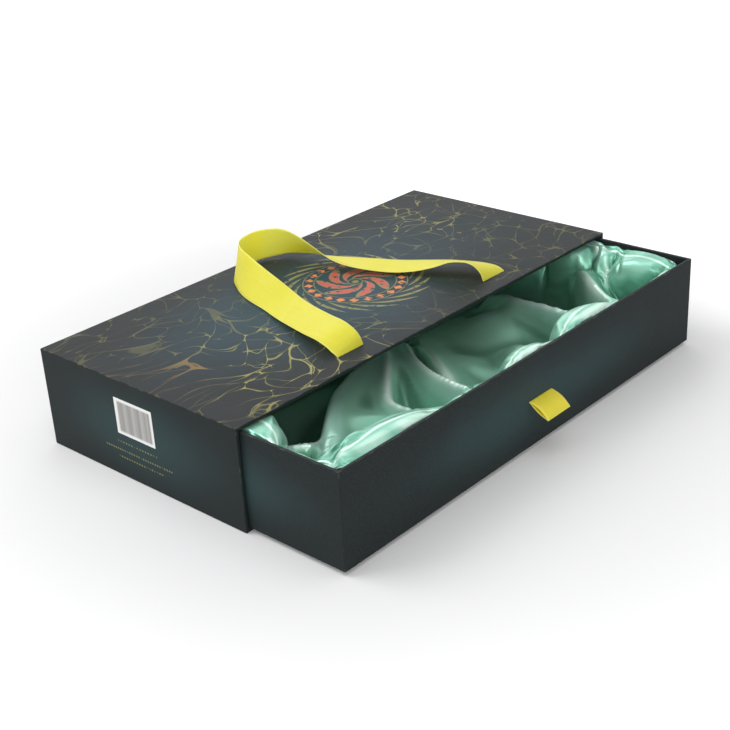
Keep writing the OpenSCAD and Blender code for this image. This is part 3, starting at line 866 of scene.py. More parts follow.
def artwork(finish, look, paper, parts, cloud, top, end):
    """Prints the veins and the medallion on the top of the sleeve and the dots on its left end,
    over the paper's colour. top and end are 1 on those faces."""
    x, y, z = parts
    place = finish.place()
    bright = greatest(spot(x, y, *vein) for vein in BRIGHT_VEINS)
    faint = spot(x, y, *FAINT_VEINS)
    strength = (bright * 1.05 + 0.34) * (1 - faint * 0.85) * (cloud * 0.8 + 0.5)
    copper = spot(x, y, *COPPER_VEINS) * finish.noise(place, 14, detail=1).step(0.40, 0.55) * 0.8
    net = greatest(veins(finish, place, *shape) * power for *shape, power in NETS)
    colour = finish.mix(net * top * strength, paper, finish.mix(copper, look.gold, look.copper))
    coral, orange, gold = medallion(x - MEDALLION_X, y - MEDALLION_Y)
    worn = finish.noise(place, 260).step(0.30, 0.48)
    for mask, ink in ((gold * top * worn * 0.75, look.gold),
                      (orange * top * worn * 0.95, look.orange),
                      (coral * top * worn * 0.95, look.coral),
                      (dot_rows(y, z) * end * worn * 0.75, look.gold)):
        colour = finish.mix(mask, colour, ink)
    return colour


def printed_paper(name, low, high, look, ornament):
    """Matt laminated print: a near-black ground that turns teal towards the middle of each face,
    with thin paler wear on the corners. On the sleeve, the top has a ground of its own, with painted
    shade that darkens its right front corner, under the artwork."""
    finish = Finish(name, Roughness=0.5, Specular_IOR_Level=0.10)
    parts, from_middle, from_edge = face_distance(finish, low, high)
    x, y, z = parts
    place = finish.place()
    cloud = finish.noise(place, 9, detail=3)
    glow = (from_middle + (cloud - 0.5) * 0.6).step(1.15, 0.05)
    if ornament:
        top = z.step(high.z - 0.4 * MM, high.z - 0.2 * MM)
        end = x.step(low.x + 0.4 * MM, low.x + 0.2 * MM)
        upper = finish.mix(glow, look.top_ground, look.top_glow)
        # Painted shade: the top's ground is darkened towards its right front corner.
        upper = finish.mix(spot(x, y, *PAINTED_SHADE_CORNER) * 0.55, upper, look.ground)
        ground = finish.mix(top, finish.mix(glow, look.ground, look.glow), upper)
    else:
        ground = finish.mix(glow ** 1.5, look.ground, look.glow)
    fibre = finish.noise(place, 1800)
    colour = finish.mix(fibre.step(0.35, 0.75) * 0.08, ground, (0.16, 0.17, 0.17))
    if ornament:
        colour = artwork(finish, look, colour, parts, cloud, top, end)
    patch = finish.noise(place, 120, detail=4)
    wear = from_edge.step(0.7 * MM, 0.1 * MM) * patch.step(0.52, 0.68)
    finish.use("Base Color", finish.mix(wear * 0.16, colour, (0.45, 0.46, 0.44)))
    finish.bump(finish.noise(place, 5200, detail=1), 0.12, 0.08 * MM)
    finish.use("Roughness", finish.noise(place, 30, detail=3) * 0.10 + 0.44)
    return finish.material


def plain_black_paper():
    """Uncoated black paper with a fine fibre."""
    finish = Finish("black_paper", Roughness=0.8, Specular_IOR_Level=0.3)
    fibre = finish.noise(finish.place(), 1500, detail=4)
    finish.use("Base Color",
               finish.mix(fibre.step(0.3, 0.7), (0.008, 0.009, 0.01), (0.018, 0.019, 0.02)))
    finish.bump(fibre, 0.2, 0.15 * MM)
    return finish.material


def grey_board():
    """Pressed grey board: flecks and slow clouds in a warm grey."""
    finish = Finish("greyboard", Roughness=0.9, Specular_IOR_Level=0.2)
    fleck = finish.noise(finish.place(), 900, detail=5, roughness=0.7)
    share = (fleck * 0.6 + finish.noise(finish.place(), 60) * 0.4).step(0.35, 0.65)
    finish.use("Base Color", finish.mix(share, (0.20, 0.185, 0.165), (0.33, 0.31, 0.28)))
    finish.bump(fleck, 0.3, 0.2 * MM)
    return finish.material


def kraft_tape():
    """Gummed kraft tape with fibres that run up and down."""
    finish = Finish("kraft_tape", Roughness=0.75, Specular_IOR_Level=0.3)
    fibre = finish.noise(finish.moved(finish.place(), scale=(1, 1, 0.15)), 1400, detail=3)
    finish.use("Base Color",
               finish.mix(fibre.step(0.35, 0.65), (0.25, 0.15, 0.065), (0.36, 0.23, 0.11)))
    finish.bump(fibre, 0.2, 0.1 * MM)
    return finish.material


def foam():
    """Open-cell foam: small pores in an off-white sheet."""
    finish = Finish("foam", Roughness=0.95, Specular_IOR_Level=0.2)
    pores = finish.put("ShaderNodeTexVoronoi", {"Vector": finish.place(), "Scale": 900.0},
                       feature="F1")
    finish.use("Base Color",
               finish.mix(pores.step(0.1, 0.5), (0.45, 0.42, 0.34), (0.80, 0.77, 0.66)))
    finish.bump(pores, 0.6, 0.6 * MM)
    return finish.material


def label_paper(look):
    """White label with soft grey upright bars of uneven width inside a clear margin."""
    finish = Finish("label_paper", Roughness=0.5, Specular_IOR_Level=0.35)
    u, v, _ = finish.parts(finish.uv())
    place = finish.vector(u, 0.0, 0.0)
    wide = finish.noise(place, 9, detail=0)
    fine = finish.noise(finish.moved(place, location=(4, 0, 0)), 26, detail=0)
    bar = wide.step(0.36, 0.62) * 0.65 + fine.step(0.40, 0.64) * 0.35
    edge = u.band(0.05, 0.11, 0.91, 0.97) * v.band(0.05, 0.12, 0.89, 0.95)
    fibre = finish.noise(finish.place(), 1500)
    white = finish.mix(fibre, (0.78, 0.78, 0.77), (0.86, 0.86, 0.85))
    grey = finish.mix(bar, look.label_light, look.label_dark)
    finish.use("Base Color", finish.mix(edge * 0.95, white, grey))
    finish.bump(fibre, 0.1, 0.05 * MM)
    return finish.material


def yellow_ribbon(look, main, deep, looped):
    """Satin ribbon: fine lengthwise lines crossed by the weave, and denser woven edges. Some light
    comes through it. A looped ribbon has painted light on the side inside its loop: a paler yellow
    with soft painted highlights."""
    finish = Finish("yellow_ribbon", Roughness=0.42, Specular_IOR_Level=0.26, Sheen_Weight=0.06,
                    Sheen_Roughness=0.35, Sheen_Tint=(1.0, 0.97, 0.75, 1), Subsurface_Weight=0.7,
                    Subsurface_Scale=0.0018, Subsurface_Radius=(1.0, 0.95, 0.45))
    u, v, _ = finish.parts(finish.uv())
    across = (u * (2 * math.pi * 70)).math("SINE")
    along = (v * (2 * math.pi * 62)).math("SINE")
    weave = across * 0.5 + along * 0.35 + 0.5
    streak = finish.noise(finish.vector(u * 60, v * 1.5, 0.0), 1)
    cloud = finish.noise(finish.vector(u * 2, v * 2, 0.0), 1.3)
    cloth = finish.mix(streak.step(0.3, 0.7) * 0.5 + cloud * 0.5, deep, main)
    # Painted light on the loop's inner side: a paler yellow with soft painted highlights.
    if looped:
        painted_gleam = finish.noise(finish.vector(u * 0.5, v, 0.0), 0.9, detail=0).step(0.25, 0.70)
        inside = finish.mix(painted_gleam, look.ribbon_inner_painted_light, look.ribbon_painted_gleam)
        cloth = finish.mix(finish.mark("inner").step(0.4, 0.6), cloth, inside)
    edge = abs(u - 0.5).step(0.455, 0.475)
    finish.use("Base Color", finish.mix(edge * 0.5, cloth, look.ribbon_edge))
    finish.bump(weave, 0.25, 0.06 * MM)
    finish.use("Roughness", streak * 0.14 + 0.36)
    return finish.material


def satin_rings(u, v):
    """How many rings of the cloth's grid a place lies in from its glued edge."""
    from_sides = u.least(UV_STEP * (CLOTH_U - 1) - u)
    from_ends = v.least(UV_STEP * (CLOTH_V - 1) - v)
    return from_sides.least(from_ends) / UV_STEP


def green_satin(look):
    """Satin cloth: a fine diagonal weave under a broad soft gloss. The loose cloth inside the puffs
    has painted shade, a darker green, at the tray's front and painted light, a paler green, in the
    sleeve's shade, where less light falls. Hollows get painted shade, crests painted highlights and
    the long folds' ridges the palest painted highlights. Short pale lines of painted highlight mark
    where the cloth is glued and where the puffs turn, and pale patches of painted highlight lie
    where the light meets them."""
    finish = Finish("green_satin", Roughness=0.32, Specular_IOR_Level=0.5, IOR=1.6,
                    Metallic=0.45, Sheen_Weight=0.08, Sheen_Roughness=0.4,
                    Sheen_Tint=(0.80, 1.0, 0.92, 1), Specular_Tint=(0.88, 1.0, 0.95, 1))
    uv = finish.uv()
    u, v, _ = finish.parts(uv)
    x, y, _ = finish.parts(finish.place())
    ring = satin_rings(u, v)

    def cloud(across, along, detail=0, location=(0, 0, 0)):
        """Noise on the flat cloth, with its scales along the tray and across it."""
        scale = (across, along, 1)
        return finish.noise(finish.moved(uv, location=location, scale=scale), 1, detail=detail)

    twill = ((u + v) * (2 * math.pi * 2200)).math("SINE") * 0.5 + 0.5
    cross = ((u - v) * (2 * math.pi * 900)).math("SINE") * 0.5 + 0.5
    slub = cloud(260, 12, detail=3)
    tone = slub.step(0.3, 0.7) * 0.45 + cloud(14, 14, detail=2) * 0.55
    cloth = finish.mix(tone, look.satin_dark, look.satin)
    # Painted light and shade: the loose cloth is painted darker at the front and paler under the
    # sleeve's mouth, where its shade falls.
    floor = finish.mix(y.step(*SHADE_Y), look.satin_front_painted_shade, look.satin_floor_painted_light)
    crest = finish.mark("crest")
    # Painted highlights: a pale line where the puffs turn, and pale patches where the light meets
    # the full puffs at the front.
    turn = abs(ring - cloud(22, 22) * 2.4 - PUFF_TURN).step(0.55, 0.12)
    patch = cloud(30, 44, location=(3, 1, 0)).step(0.53, 0.64) * x.step(0.150, 0.120)
    full = greatest(spot(x, y, *puff) for puff in LIT_PUFFS)
    lit = (patch * 0.6).most(full * 0.38) * ring.band(0.6, 1.4, 4.0, 5.0)
    # Painted light over the cloth: the loose satin's painted shade and painted light, painted shade
    # in hollows, painted highlights on crests, on the full puffs, along the puffs' turn and the
    # glued edge, and the palest along the long folds' ridges.
    for share, colour in ((ring.step(8, 20) * 0.85, floor),
                          (crest.step(-0.25, -1.0) * 0.65, look.satin_hollow_shade),
                          (crest.step(0.20, 1.0) * 0.42, look.satin_crest_highlight),
                          (lit, look.satin_painted_highlight),
                          ((turn * 0.7).most(ring.step(1.1, 0.5) * 0.5), look.satin_painted_highlight),
                          (finish.mark("ridge_and_highlight") ** 1.3 * 0.95, look.satin_painted_highlight)):
        cloth = finish.mix(share, cloth, colour)
    finish.use("Base Color", cloth)
    finish.bump(twill * 0.6 + cross * 0.4, 0.10, 0.05 * MM)
    finish.use("Roughness", slub * 0.10 + 0.26)
    return finish.material


# ---- settings ----

def tint(name, description, *default):
    """A colour in the panel."""
    return bpy.props.FloatVectorProperty(name=name, description=description, subtype="COLOR",
                                         size=3, default=default, min=0, max=1)


def extent(name, description, default, low, high, unit="LENGTH"):
    """A length or an angle in the panel."""
    return bpy.props.FloatProperty(name=name, description=description, unit=unit,
                                   default=default, min=low, max=high)


class SurfaceLook(bpy.types.PropertyGroup):
    """Colours of the box's papers, ribbon and satin."""

    ground: tint("Print ground", "Near-black of the wrapping paper towards its edges",
                 0.0130, 0.0185, 0.0190)
    glow: tint("Print middle", "Teal of the wrapping paper in the middle of a face",
               0.025, 0.051, 0.054)
    top_ground: tint("Top ground", "Near-black of the sleeve's top towards its edges",
                     0.0172, 0.0204, 0.0214)
    top_glow: tint("Top middle", "Teal in the middle of the sleeve's top", 0.024, 0.057, 0.076)
    gold: tint("Gold print", "Colour of the veins, the dots and the rings", 0.300, 0.280, 0.105)
    copper: tint("Copper print", "Second colour of the veins", 0.26, 0.125, 0.055)
    coral: tint("Coral print", "Colour of the medallion's petals", 0.52, 0.11, 0.09)
    orange: tint("Orange print", "Colour of the medallion's lozenges", 0.72, 0.25, 0.08)
    label_light: tint("Label bars, pale", "Paler tone of the label's soft bars",
                      0.42, 0.415, 0.40)
    label_dark: tint("Label bars, dark", "Darker tone of the label's soft bars",
                     0.24, 0.235, 0.225)
    ribbon: tint("Ribbon", "Main yellow of the ribbon", 0.84, 0.75, 0.055)
    ribbon_dark: tint("Ribbon, deep", "Deeper yellow in the ribbon's streaks",
                      0.77, 0.665, 0.042)
    # Painted light: the tab is the handle's ribbon, painted warmer and brighter for the warm light
    # on it.
    tab: tint("Pull tab", "Golden yellow of the pull tab", 1.0, 0.78, 0.055)
    tab_dark_painted_light: tint("Pull tab, deep", "Deeper yellow in the pull tab's streaks",
                   0.94, 0.70, 0.045)
    # Painted light: a paler yellow for the side inside the loop.
    ribbon_inner_painted_light: tint("Ribbon, inner side", "Yellow of the side that lies inside the loop",
                       1.0, 0.81, 0.050)
    # Painted highlights: pale gleams on the side inside the loop.
    ribbon_painted_gleam: tint("Ribbon, gleam", "Pale yellow gleams inside the loop", 1.0, 0.92, 0.14)
    ribbon_edge: tint("Ribbon edge", "Paler yellow of the woven edges", 0.84, 0.80, 0.22)
    satin: tint("Satin", "Main green of the satin", 0.190, 0.480, 0.355)
    satin_dark: tint("Satin, deep", "Deeper green of the satin's slubs", 0.125, 0.380, 0.270)
    # Painted highlight on the satin's crests.
    satin_crest_highlight: tint("Satin, crests", "Pale mint where the folds of the satin catch the light",
                      0.42, 0.74, 0.61)
    # Painted light: the loose satin's paler green under the sleeve's mouth, where its shade falls.
    satin_floor_painted_light: tint("Satin, floor", "Green of the loose satin away from the rim",
                      0.360, 0.675, 0.515)
    # Painted shade: the loose satin's darker green towards the tray's front.
    satin_front_painted_shade: tint("Satin, front", "Green of the loose satin towards the tray's front",
                      0.150, 0.375, 0.270)
    # Painted highlight: the satin's palest mint, on the long folds' ridges, the puffs' turn, the
    # glued edge and the lit puffs.
    satin_painted_highlight: tint("Satin, ridges", "Palest mint along the sharp crests of the long folds",
                      0.74, 0.92, 0.83)
    # Painted shade in the satin's hollows.
    satin_hollow_shade: tint("Satin, hollows", "Deep green in the hollows between the folds",
                       0.050, 0.180, 0.115)


class PieceSizes(bpy.types.PropertyGroup):
    """Sizes of the soft pieces that a maker would change."""

    ribbon_width: extent("Ribbon width", "Width of the satin ribbon", 25 * MM, 15 * MM, 32 * MM)
    ribbon_thickness: extent("Ribbon thickness", "Thickness of the satin ribbon",
                             0.4 * MM, 0.3 * MM, 0.5 * MM)
    tab_length: extent("Tab length", "Length of the folded ribbon tab outside the tray",
                       17 * MM, 10 * MM, 30 * MM)
    tab_droop: extent("Tab droop", "Angle of the tab below the horizontal",
                      math.radians(32), 0, math.radians(60), unit="ROTATION")
    puff: extent("Satin puff", "How far the fullest puff of satin swells inwards",
                 FULL_PUFF, 3 * MM, 26 * MM)
    satin_thickness: extent("Satin thickness", "Thickness of the satin cloth",
                            0.25 * MM, 0.1 * MM, 0.6 * MM)


def look():
    return bpy.context.scene.gift_box_look


def sizes():
    return bpy.context.scene.gift_box_sizes


# ---- operators ----

class GIFTBOX_OT_boards(bpy.types.Operator):
    """Finish the greyboard panels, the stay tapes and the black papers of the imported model"""

    bl_idname = "giftbox.boards"
    bl_label = "Boards, tapes and linings"

    def execute(self, context):
        finishes = {"board": grey_board(), "stays": kraft_tape(),
                    "liner": plain_black_paper()}
        finishes["base_sheet"] = finishes["liner"]
        for name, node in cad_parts.items():
            for ending, material in finishes.items():
                if name.endswith(ending):
                    paint(node, material)
        return {"FINISHED"}


class GIFTBOX_OT_sleeve_paper(bpy.types.Operator):
    """Fold the printed paper round the sleeve and cut its two handle slits"""

    bl_idname = "giftbox.sleeve_paper"
    bl_label = "Sleeve paper"

    def execute(self, context):
        profile, back_loop = sleeve_profile()
        paper = paper_shell("sleeve_printed_paper", SLEEVE_LOW, SLEEVE_HIGH, 1, profile,
                            [back_loop])
        top = SLEEVE_HIGH.z
        blocks = [((side * SLIT_X - SLIT_LENGTH / 2, SLIT_Y - SLIT_T / 2, top - MM),
                   (side * SLIT_X + SLIT_LENGTH / 2, SLIT_Y + SLIT_T / 2, top + MM))
                  for side in (-1, 1)]
        blocks.append((SLEEVE_LOW + Vector((TURN_W, TURN_W, -MM)),
                       (SLEEVE_HIGH.x - TURN_W, SLEEVE_HIGH.y - TURN_W, WINDOW_Z)))
        cut_blocks(paper, blocks)
        material = printed_paper("sleeve_print", SLEEVE_LOW, SLEEVE_HIGH, look(), ornament=True)
        dress(paper, material, "sleeve", "printed_paper", "sleeve_wrap")
        return {"FINISHED"}


class GIFTBOX_OT_tray_paper(bpy.types.Operator):
    """Fold the printed paper round the tray, over its rim, and cut the slit of the pull tab"""

    bl_idname = "giftbox.tray_paper"
    bl_label = "Tray paper"

    def execute(self, context):
        paper = paper_shell("tray_printed_paper", TRAY_LOW, TRAY_HIGH, 2, tray_profile())
        front = TRAY_LOW.y
        cut_blocks(paper, [((-SLIT_LENGTH / 2, front - MM, TAB_Z - TAB_SLIT_T / 2),
                            (SLIT_LENGTH / 2, front + MM, TAB_Z + TAB_SLIT_T / 2))])
        material = printed_paper("tray_print", TRAY_LOW, TRAY_HIGH, look(), ornament=False)
        dress(paper, material, "tray", "printed_paper", "tray_wrap")
        return {"FINISHED"}


class GIFTBOX_OT_end_label(bpy.types.Operator):
    """Lay the white label on the sleeve's left end"""

    bl_idname = "giftbox.end_label"
    bl_label = "End label"

    def execute(self, context):
        low, high = LABEL_LOW, LABEL_HIGH
        middle, half = (low + high) / 2, (high - low) / 2
        depth = np.array([high.x, low.x + LABEL_BEVEL, low.x])
        inset = np.array([0, 0, LABEL_BEVEL])
        y, z = rounded_loops(half.y, half.z, inset, LABEL_R - inset, ARC_POINTS - 1)
        x = np.broadcast_to(depth[:, None], y.shape)
        points = np.stack([x, y + middle.y, z + middle.z], axis=2).reshape(-1, 3)
        label = add_mesh("end_label_paper", points, capped_tube(*x.shape), smooth=False)
        set_uv(label, np.stack([(high.y - points[:, 1]) / (2 * half.y),
                                (points[:, 2] - low.z) / (2 * half.z)], axis=1))
        face_out(label, merge=False)
        dress(label, label_paper(look()), "sleeve", "label_paper", "end_label")
        return {"FINISHED"}


class GIFTBOX_OT_ribbon_handle(bpy.types.Operator):
    """Lay the ribbon handle on the sleeve's top and glue its tails inside"""

    bl_idname = "giftbox.ribbon_handle"
    bl_label = "Ribbon handle"

    def execute(self, context):
        width = sizes().ribbon_width
        thickness = sizes().ribbon_thickness
        material = yellow_ribbon(look(), look().ribbon, look().ribbon_dark, looped=True)
        across = unit_rows(STATIONS[:, 3:])
        middles = STATIONS[:, :3] * MM
        middles[:, 1] += SLIT_Y
        middles[:, 2] += SLEEVE_HIGH.z + np.abs(across[:, 2]) * width / 2
        at = np.linspace(0, len(STATIONS) - 1, HANDLE_STEPS)
        loop, length = ribbon_strip("handle_ribbon_loop", catmull(middles, at),
                                    catmull(across, at), width, thickness)
        dress(loop, material, None, "yellow_ribbon", "handle_ribbon")
        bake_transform(loop)
        for side, name in ((-1, "left"), (1, "right")):
            tail, _ = ribbon_x("handle_tail_ribbon_" + name, tail_line(side * SLIT_X), -side,
                               width, thickness)
            dress(tail, material, "sleeve", "yellow_ribbon", "handle_tail_" + name)
        return {"FINISHED"}


class GIFTBOX_OT_pull_tab(bpy.types.Operator):
    """Fold the ribbon tab double and pass it through the slit in the tray's front"""

    bl_idname = "giftbox.pull_tab"
    bl_label = "Pull tab"

    def execute(self, context):
        width = sizes().ribbon_width
        thickness = sizes().ribbon_thickness
        front = TRAY_LOW.y
        # The tab's golden yellows are the handle ribbon's colour with painted light, warmer and
        # brighter.
        material = yellow_ribbon(look(), look().tab, look().tab_dark_painted_light, looped=False)
        line = tab_line(front, sizes().tab_length, sizes().tab_droop)
        tab, run = ribbon_x("pull_tab_ribbon", line, 1, width, thickness)
        dress(tab, material, None, "yellow_ribbon", "pull_tab")
        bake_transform(tab)
        leaves = [ribbon_x("leaf", leaf_line(front, side), 1, width, thickness)[0]
                  for side in (1, -1)]
        tail = join("pull_tab_leaves", leaves)
        dress(tail, material, "tray", "yellow_ribbon", "pull_tab_tail")
        return {"FINISHED"}


class GIFTBOX_OT_sponge_pad(bpy.types.Operator):
    """Lay the sponge pad on the tray's base"""

    bl_idname = "giftbox.sponge_pad"
    bl_label = "Sponge pad"

    def execute(self, context):
        low, high = PAD_LOW, PAD_HIGH
        middle, half = (low + high) / 2, (high - low) / 2
        u, v = np.meshgrid(np.linspace(-1, 1, PAD_U), np.linspace(-1, 1, PAD_V), indexing="ij")
        edge = np.minimum((1 - np.abs(u)) * half.x, (1 - np.abs(v)) * half.y)
        soft = 1 - np.clip(1 - edge / PAD_EDGE, 0, 1) ** 2
        crown = PAD_WAVE * np.sin(u * PAD_TURNS[0]) * np.sin(v * PAD_TURNS[1])
        top = high.z - (1 - soft) * PAD_DROP - PAD_WAVE + crown * soft
        x = middle.x + u * half.x
        y = middle.y + v * half.y
        upper = np.stack([x, y, top], axis=2).reshape(-1, 3)
        lower = np.stack([x, y, np.full_like(x, low.z)], axis=2).reshape(-1, 3)
        count = len(upper)
        face = quads(PAD_U, PAD_V)
        number = np.arange(count).reshape(PAD_U, PAD_V)
        ring = np.concatenate([number[:, 0], number[-1, 1:], number[-2::-1, -1],
                               number[0, -2:0:-1]])
        after = np.roll(ring, -1)
        sides = np.stack([ring, after, after + count, ring + count], axis=1)
        pad = add_mesh("sponge_pad", np.concatenate([upper, lower]),
                       np.concatenate([face, face[:, ::-1] + count, sides]).tolist())
        face_out(pad)
        dress(pad, foam(), "tray", "sponge", "base_pad")
        return {"FINISHED"}


# ---- satin ----

def profile_at(profile, share):
    """A profile's two numbers at a share of its length, on a smooth curve."""
    flat = catmull(profile, share.ravel() * (len(profile) - 1))
    return flat[:, 0].reshape(share.shape), flat[:, 1].reshape(share.shape)


def swell(pinches, along):
    """Share of a full puff along a wall: a rounded arch between each two glued points, as high
    as the first one says."""
    places = np.array([p[0] for p in pinches], float)
    sizes_after = np.array([p[1] for p in pinches], float)
    number = np.clip(np.searchsorted(places, along, side="right") - 1, 0, len(places) - 2)
    span = places[number + 1] - places[number]
    share = np.clip((along - places[number]) / span, 0, 1)
    return sizes_after[number] * np.sin(np.pi * share) ** 0.5


def satin_grid():
    """The satin's hanging shape in plan and height, before its floor is formed. Its grid's rings
    are rounded rectangles: the outer ones go down the walls, where the profile is a mix of the
    puff and the pinch, and the inner ones fill the floor."""
    i, j = np.meshgrid(np.arange(CLOTH_U), np.arange(CLOTH_V), indexing="ij")
    ring = np.minimum(np.minimum(i, CLOTH_U - 1 - i), np.minimum(j, CLOTH_V - 1 - j))
    wall = np.minimum(ring, WALL_RINGS)
    inner_u = CLOTH_U - 1 - 2 * wall
    inner_v = CLOTH_V - 1 - 2 * wall
    share_x = 2 * (i - wall) / inner_u - 1
    share_y = 2 * (j - wall) / inner_v - 1
    along_x = share_x * RIM_X
    along_y = share_y * RIM_Y + TRAY_Y
    on_front = (j == ring)
    on_back = (CLOTH_V - 1 - j == ring) & ~on_front
    on_left = (i == ring) & ~on_front & ~on_back
    puffed = np.select(
        [on_front, on_back, on_left],
        [swell(FRONT_PINCHES, along_x), swell(BACK_PINCHES, along_x),
         swell(LEFT_PINCHES, along_y)],
        swell(RIGHT_PINCHES, along_y))
    depth = np.clip(ring / WALL_RINGS, 0, 1)
    puff_inset, puff_height = profile_at(PUFF_PROFILE, depth)
    pinch_inset, pinch_height = profile_at(PINCH_PROFILE, depth)
    inset = pinch_inset + (puff_inset * (sizes().puff / FULL_PUFF) - pinch_inset) * puffed
    height = pinch_height + (puff_height - pinch_height) * puffed
    half_x = RIM_X - inset
    half_y = RIM_Y - inset
    x = share_x * half_x
    y = share_y * half_y
    corner = CORNER_R * np.clip(1 - (ring - WALL_RINGS) / CORNER_RINGS, 0.05, 1)
    own_x = half_x * (1 - 2 * (ring - wall) / inner_u)
    own_y = half_y * (1 - 2 * (ring - wall) / inner_v)
    over_x = np.clip(np.abs(share_x) * half_x - (own_x - corner), 0, None)
    over_y = np.clip(np.abs(share_y) * half_y - (own_y - corner), 0, None)
    both = (over_x > 0) & (over_y > 0)
    pull = np.where(both, corner / np.maximum(np.hypot(over_x, over_y), 1e-6), 1)
    x = np.where(both, np.sign(x) * (own_x - corner + over_x * pull), x)
    y = np.where(both, np.sign(y) * (own_y - corner + over_y * pull), y)
    return x, y + TRAY_Y, FLOOR_Z + (RIM_Z - FLOOR_Z) * height, ring


def satin_shape():
    """The satin before it settles, and each point's ring. Slow waves and mounds form its floor,
    and each long fold lifts the cloth beside its line as a bell curve."""
    x, y, z, ring = satin_grid()
    flat = np.clip((ring - WALL_RINGS * FLOOR_FROM) / (WALL_RINGS * FLOOR_SPAN), 0, 1)
    waves = sum(rise * np.sin(x * turn_x + y * turn_y) for rise, turn_x, turn_y in WAVES)
    z = z + flat * (waves + FLOOR_LIFT)
    inside = np.clip(ring / LIFT_RINGS, 0, 1)
    for place_x, place_y, level, radius in MOUNDS:
        share = np.exp(-((x - place_x) ** 2 + (y - place_y) ** 2) / radius ** 2)
        z = z + inside * flat * share * (level - z)
    for left, right, sharpness, _, line in FOLDS:
        near, side, crest, _ = nearest_on_line(x, y, fine_line(line))
        width = right + (left - right) * (side > 0)
        lift = np.exp(-(near / width) ** sharpness)
        z = z + inside * lift * np.maximum(crest - z, 0)
    return np.stack([x, y, z], axis=2) * MM, ring


def fine_line(line):
    """A smooth curve through a line's places, eight steps to a span."""
    rows = np.array(line, float)
    return catmull(rows, np.linspace(0, len(rows) - 1, 8 * (len(rows) - 1) + 1))


def nearest_on_line(x, y, line):
    """Distance in plan from each place to a line of points, the side of the line it is on, and
    the line's height and the share of its length there."""
    best = np.full(x.shape, 1e9)
    beside = np.zeros(x.shape)
    height = np.zeros(x.shape)
    along = np.zeros(x.shape)
    for number, (start, end) in enumerate(zip(line[:-1], line[1:])):
        run = end[:2] - start[:2]
        share = ((x - start[0]) * run[0] + (y - start[1]) * run[1]) / (run @ run)
        share = np.clip(share, 0, 1)
        away = np.hypot(x - start[0] - share * run[0], y - start[1] - share * run[1])
        closer = away < best
        best = np.where(closer, away, best)
        beside = np.where(closer, run[0] * (y - start[1]) - run[1] * (x - start[0]), beside)
        height = np.where(closer, start[2] + share * (end[2] - start[2]), height)
        along = np.where(closer, (number + share) / (len(line) - 1), along)
    return best, beside, height, along


def smoothed(grid, passes):
    """A grid of points with each pulled to the mean of its neighbours, pass after pass."""
    for _ in range(passes):
        wide = np.pad(grid, ((1, 1), (1, 1), (0, 0)), mode="edge")
        grid = (wide[:-2, 1:-1] + wide[2:, 1:-1] + wide[1:-1, :-2] + wide[1:-1, 2:]
                + 2 * wide[1:-1, 1:-1]) / 6
    return grid


def crest_share(cloth):
    """How far each point stands out of the cloth round it, near by and farther off, from -1 in a
    hollow to 1 on a crest: its height over the smoothed cloth along the cloth's own normal."""
    grid = points_of(cloth).reshape(CLOTH_U, CLOTH_V, 3) / MM
    run_u, run_v = np.gradient(smoothed(grid, 2), axis=(0, 1))
    normal = np.cross(run_u, run_v)
    normal /= np.linalg.norm(normal, axis=2, keepdims=True) + 1e-9

    def stands_out(passes):
        """Height of lightly smoothed cloth over well smoothed cloth."""
        light, well = passes
        return np.sum((smoothed(grid, light) - smoothed(grid, well)) * normal, axis=2)

    share = (stands_out(NEAR_PASSES) / CREST_NEAR
             + np.minimum(stands_out(FAR_PASSES), 0) / CREST_FAR)
    return np.clip(share, -1, 1).ravel()


def sharpen_folds(cloth):
    """Works the crests of the long folds out fine. Beside each fold's line the cloth rises along its
    normals as a narrow bell curve that fades at the line's ends, and a mark says how near each point
    is to a crest, where the satin's colour paints its palest highlight."""
    places = points_of(cloth) / MM
    normals = points_of(cloth, "normal")
    ridge_and_highlight = np.zeros(len(places))
    for _, _, _, bright, line in FOLDS:
        near, _, height, along = nearest_on_line(places[:, 0], places[:, 1], fine_line(line))
        fade = np.sin(np.pi * np.clip(along, 0.0, 1.0)) ** 0.6
        level = np.exp(-((places[:, 2] - height) / RIDGE_REACH) ** 2)
        bell = np.exp(-(near / (RIDGE_HALF_WIDTH * (0.5 + 0.5 * fade))) ** 2) * fade * level
        ridge_and_highlight = np.maximum(ridge_and_highlight, bell * bright)
    places = places + normals * (ridge_and_highlight * RIDGE_RISE)[:, None]
    low = (-RIM_X - RIM_SLACK, TRAY_Y - RIM_Y - RIM_SLACK, PAD_TOP + PAD_GAP)
    high = (RIM_X + RIM_SLACK, TRAY_Y + RIM_Y + RIM_SLACK, SATIN_TOP)
    places = np.clip(places, low, high)
    cloth.data.vertices.foreach_set("co", (places * MM).ravel())
    mark_points(cloth, "ridge_and_highlight", ridge_and_highlight)
    cloth.data.update()


def hold_weights(points, ring):
    """How firmly each point keeps its place while the cloth settles: the glued edge fully, the
    floor and the crests of the long folds firmly, the puffs less, and the stretch between the
    puffs and the floor loosely."""
    x, y = points[..., 0] / MM, points[..., 1] / MM
    floor = np.clip((ring - FLOOR_HOLD_RING) / FLOOR_HOLD_SPAN, 0, 1)
    weight = LOOSE_HOLD + (FLOOR_HOLD - LOOSE_HOLD) * floor
    weight = np.maximum(weight, PUFF_HOLD * np.clip(1 - ring / PUFF_RINGS, 0, 1) ** 0.5)
    for _, _, _, _, line in FOLDS:
        near, _, _, _ = nearest_on_line(x, y, fine_line(line))
        weight = np.maximum(weight, CREST_HOLD * np.exp(-(near / CREST_HOLD_WIDTH) ** 2))
    weight[ring == 0] = 1
    return np.round(weight.ravel(), 2)


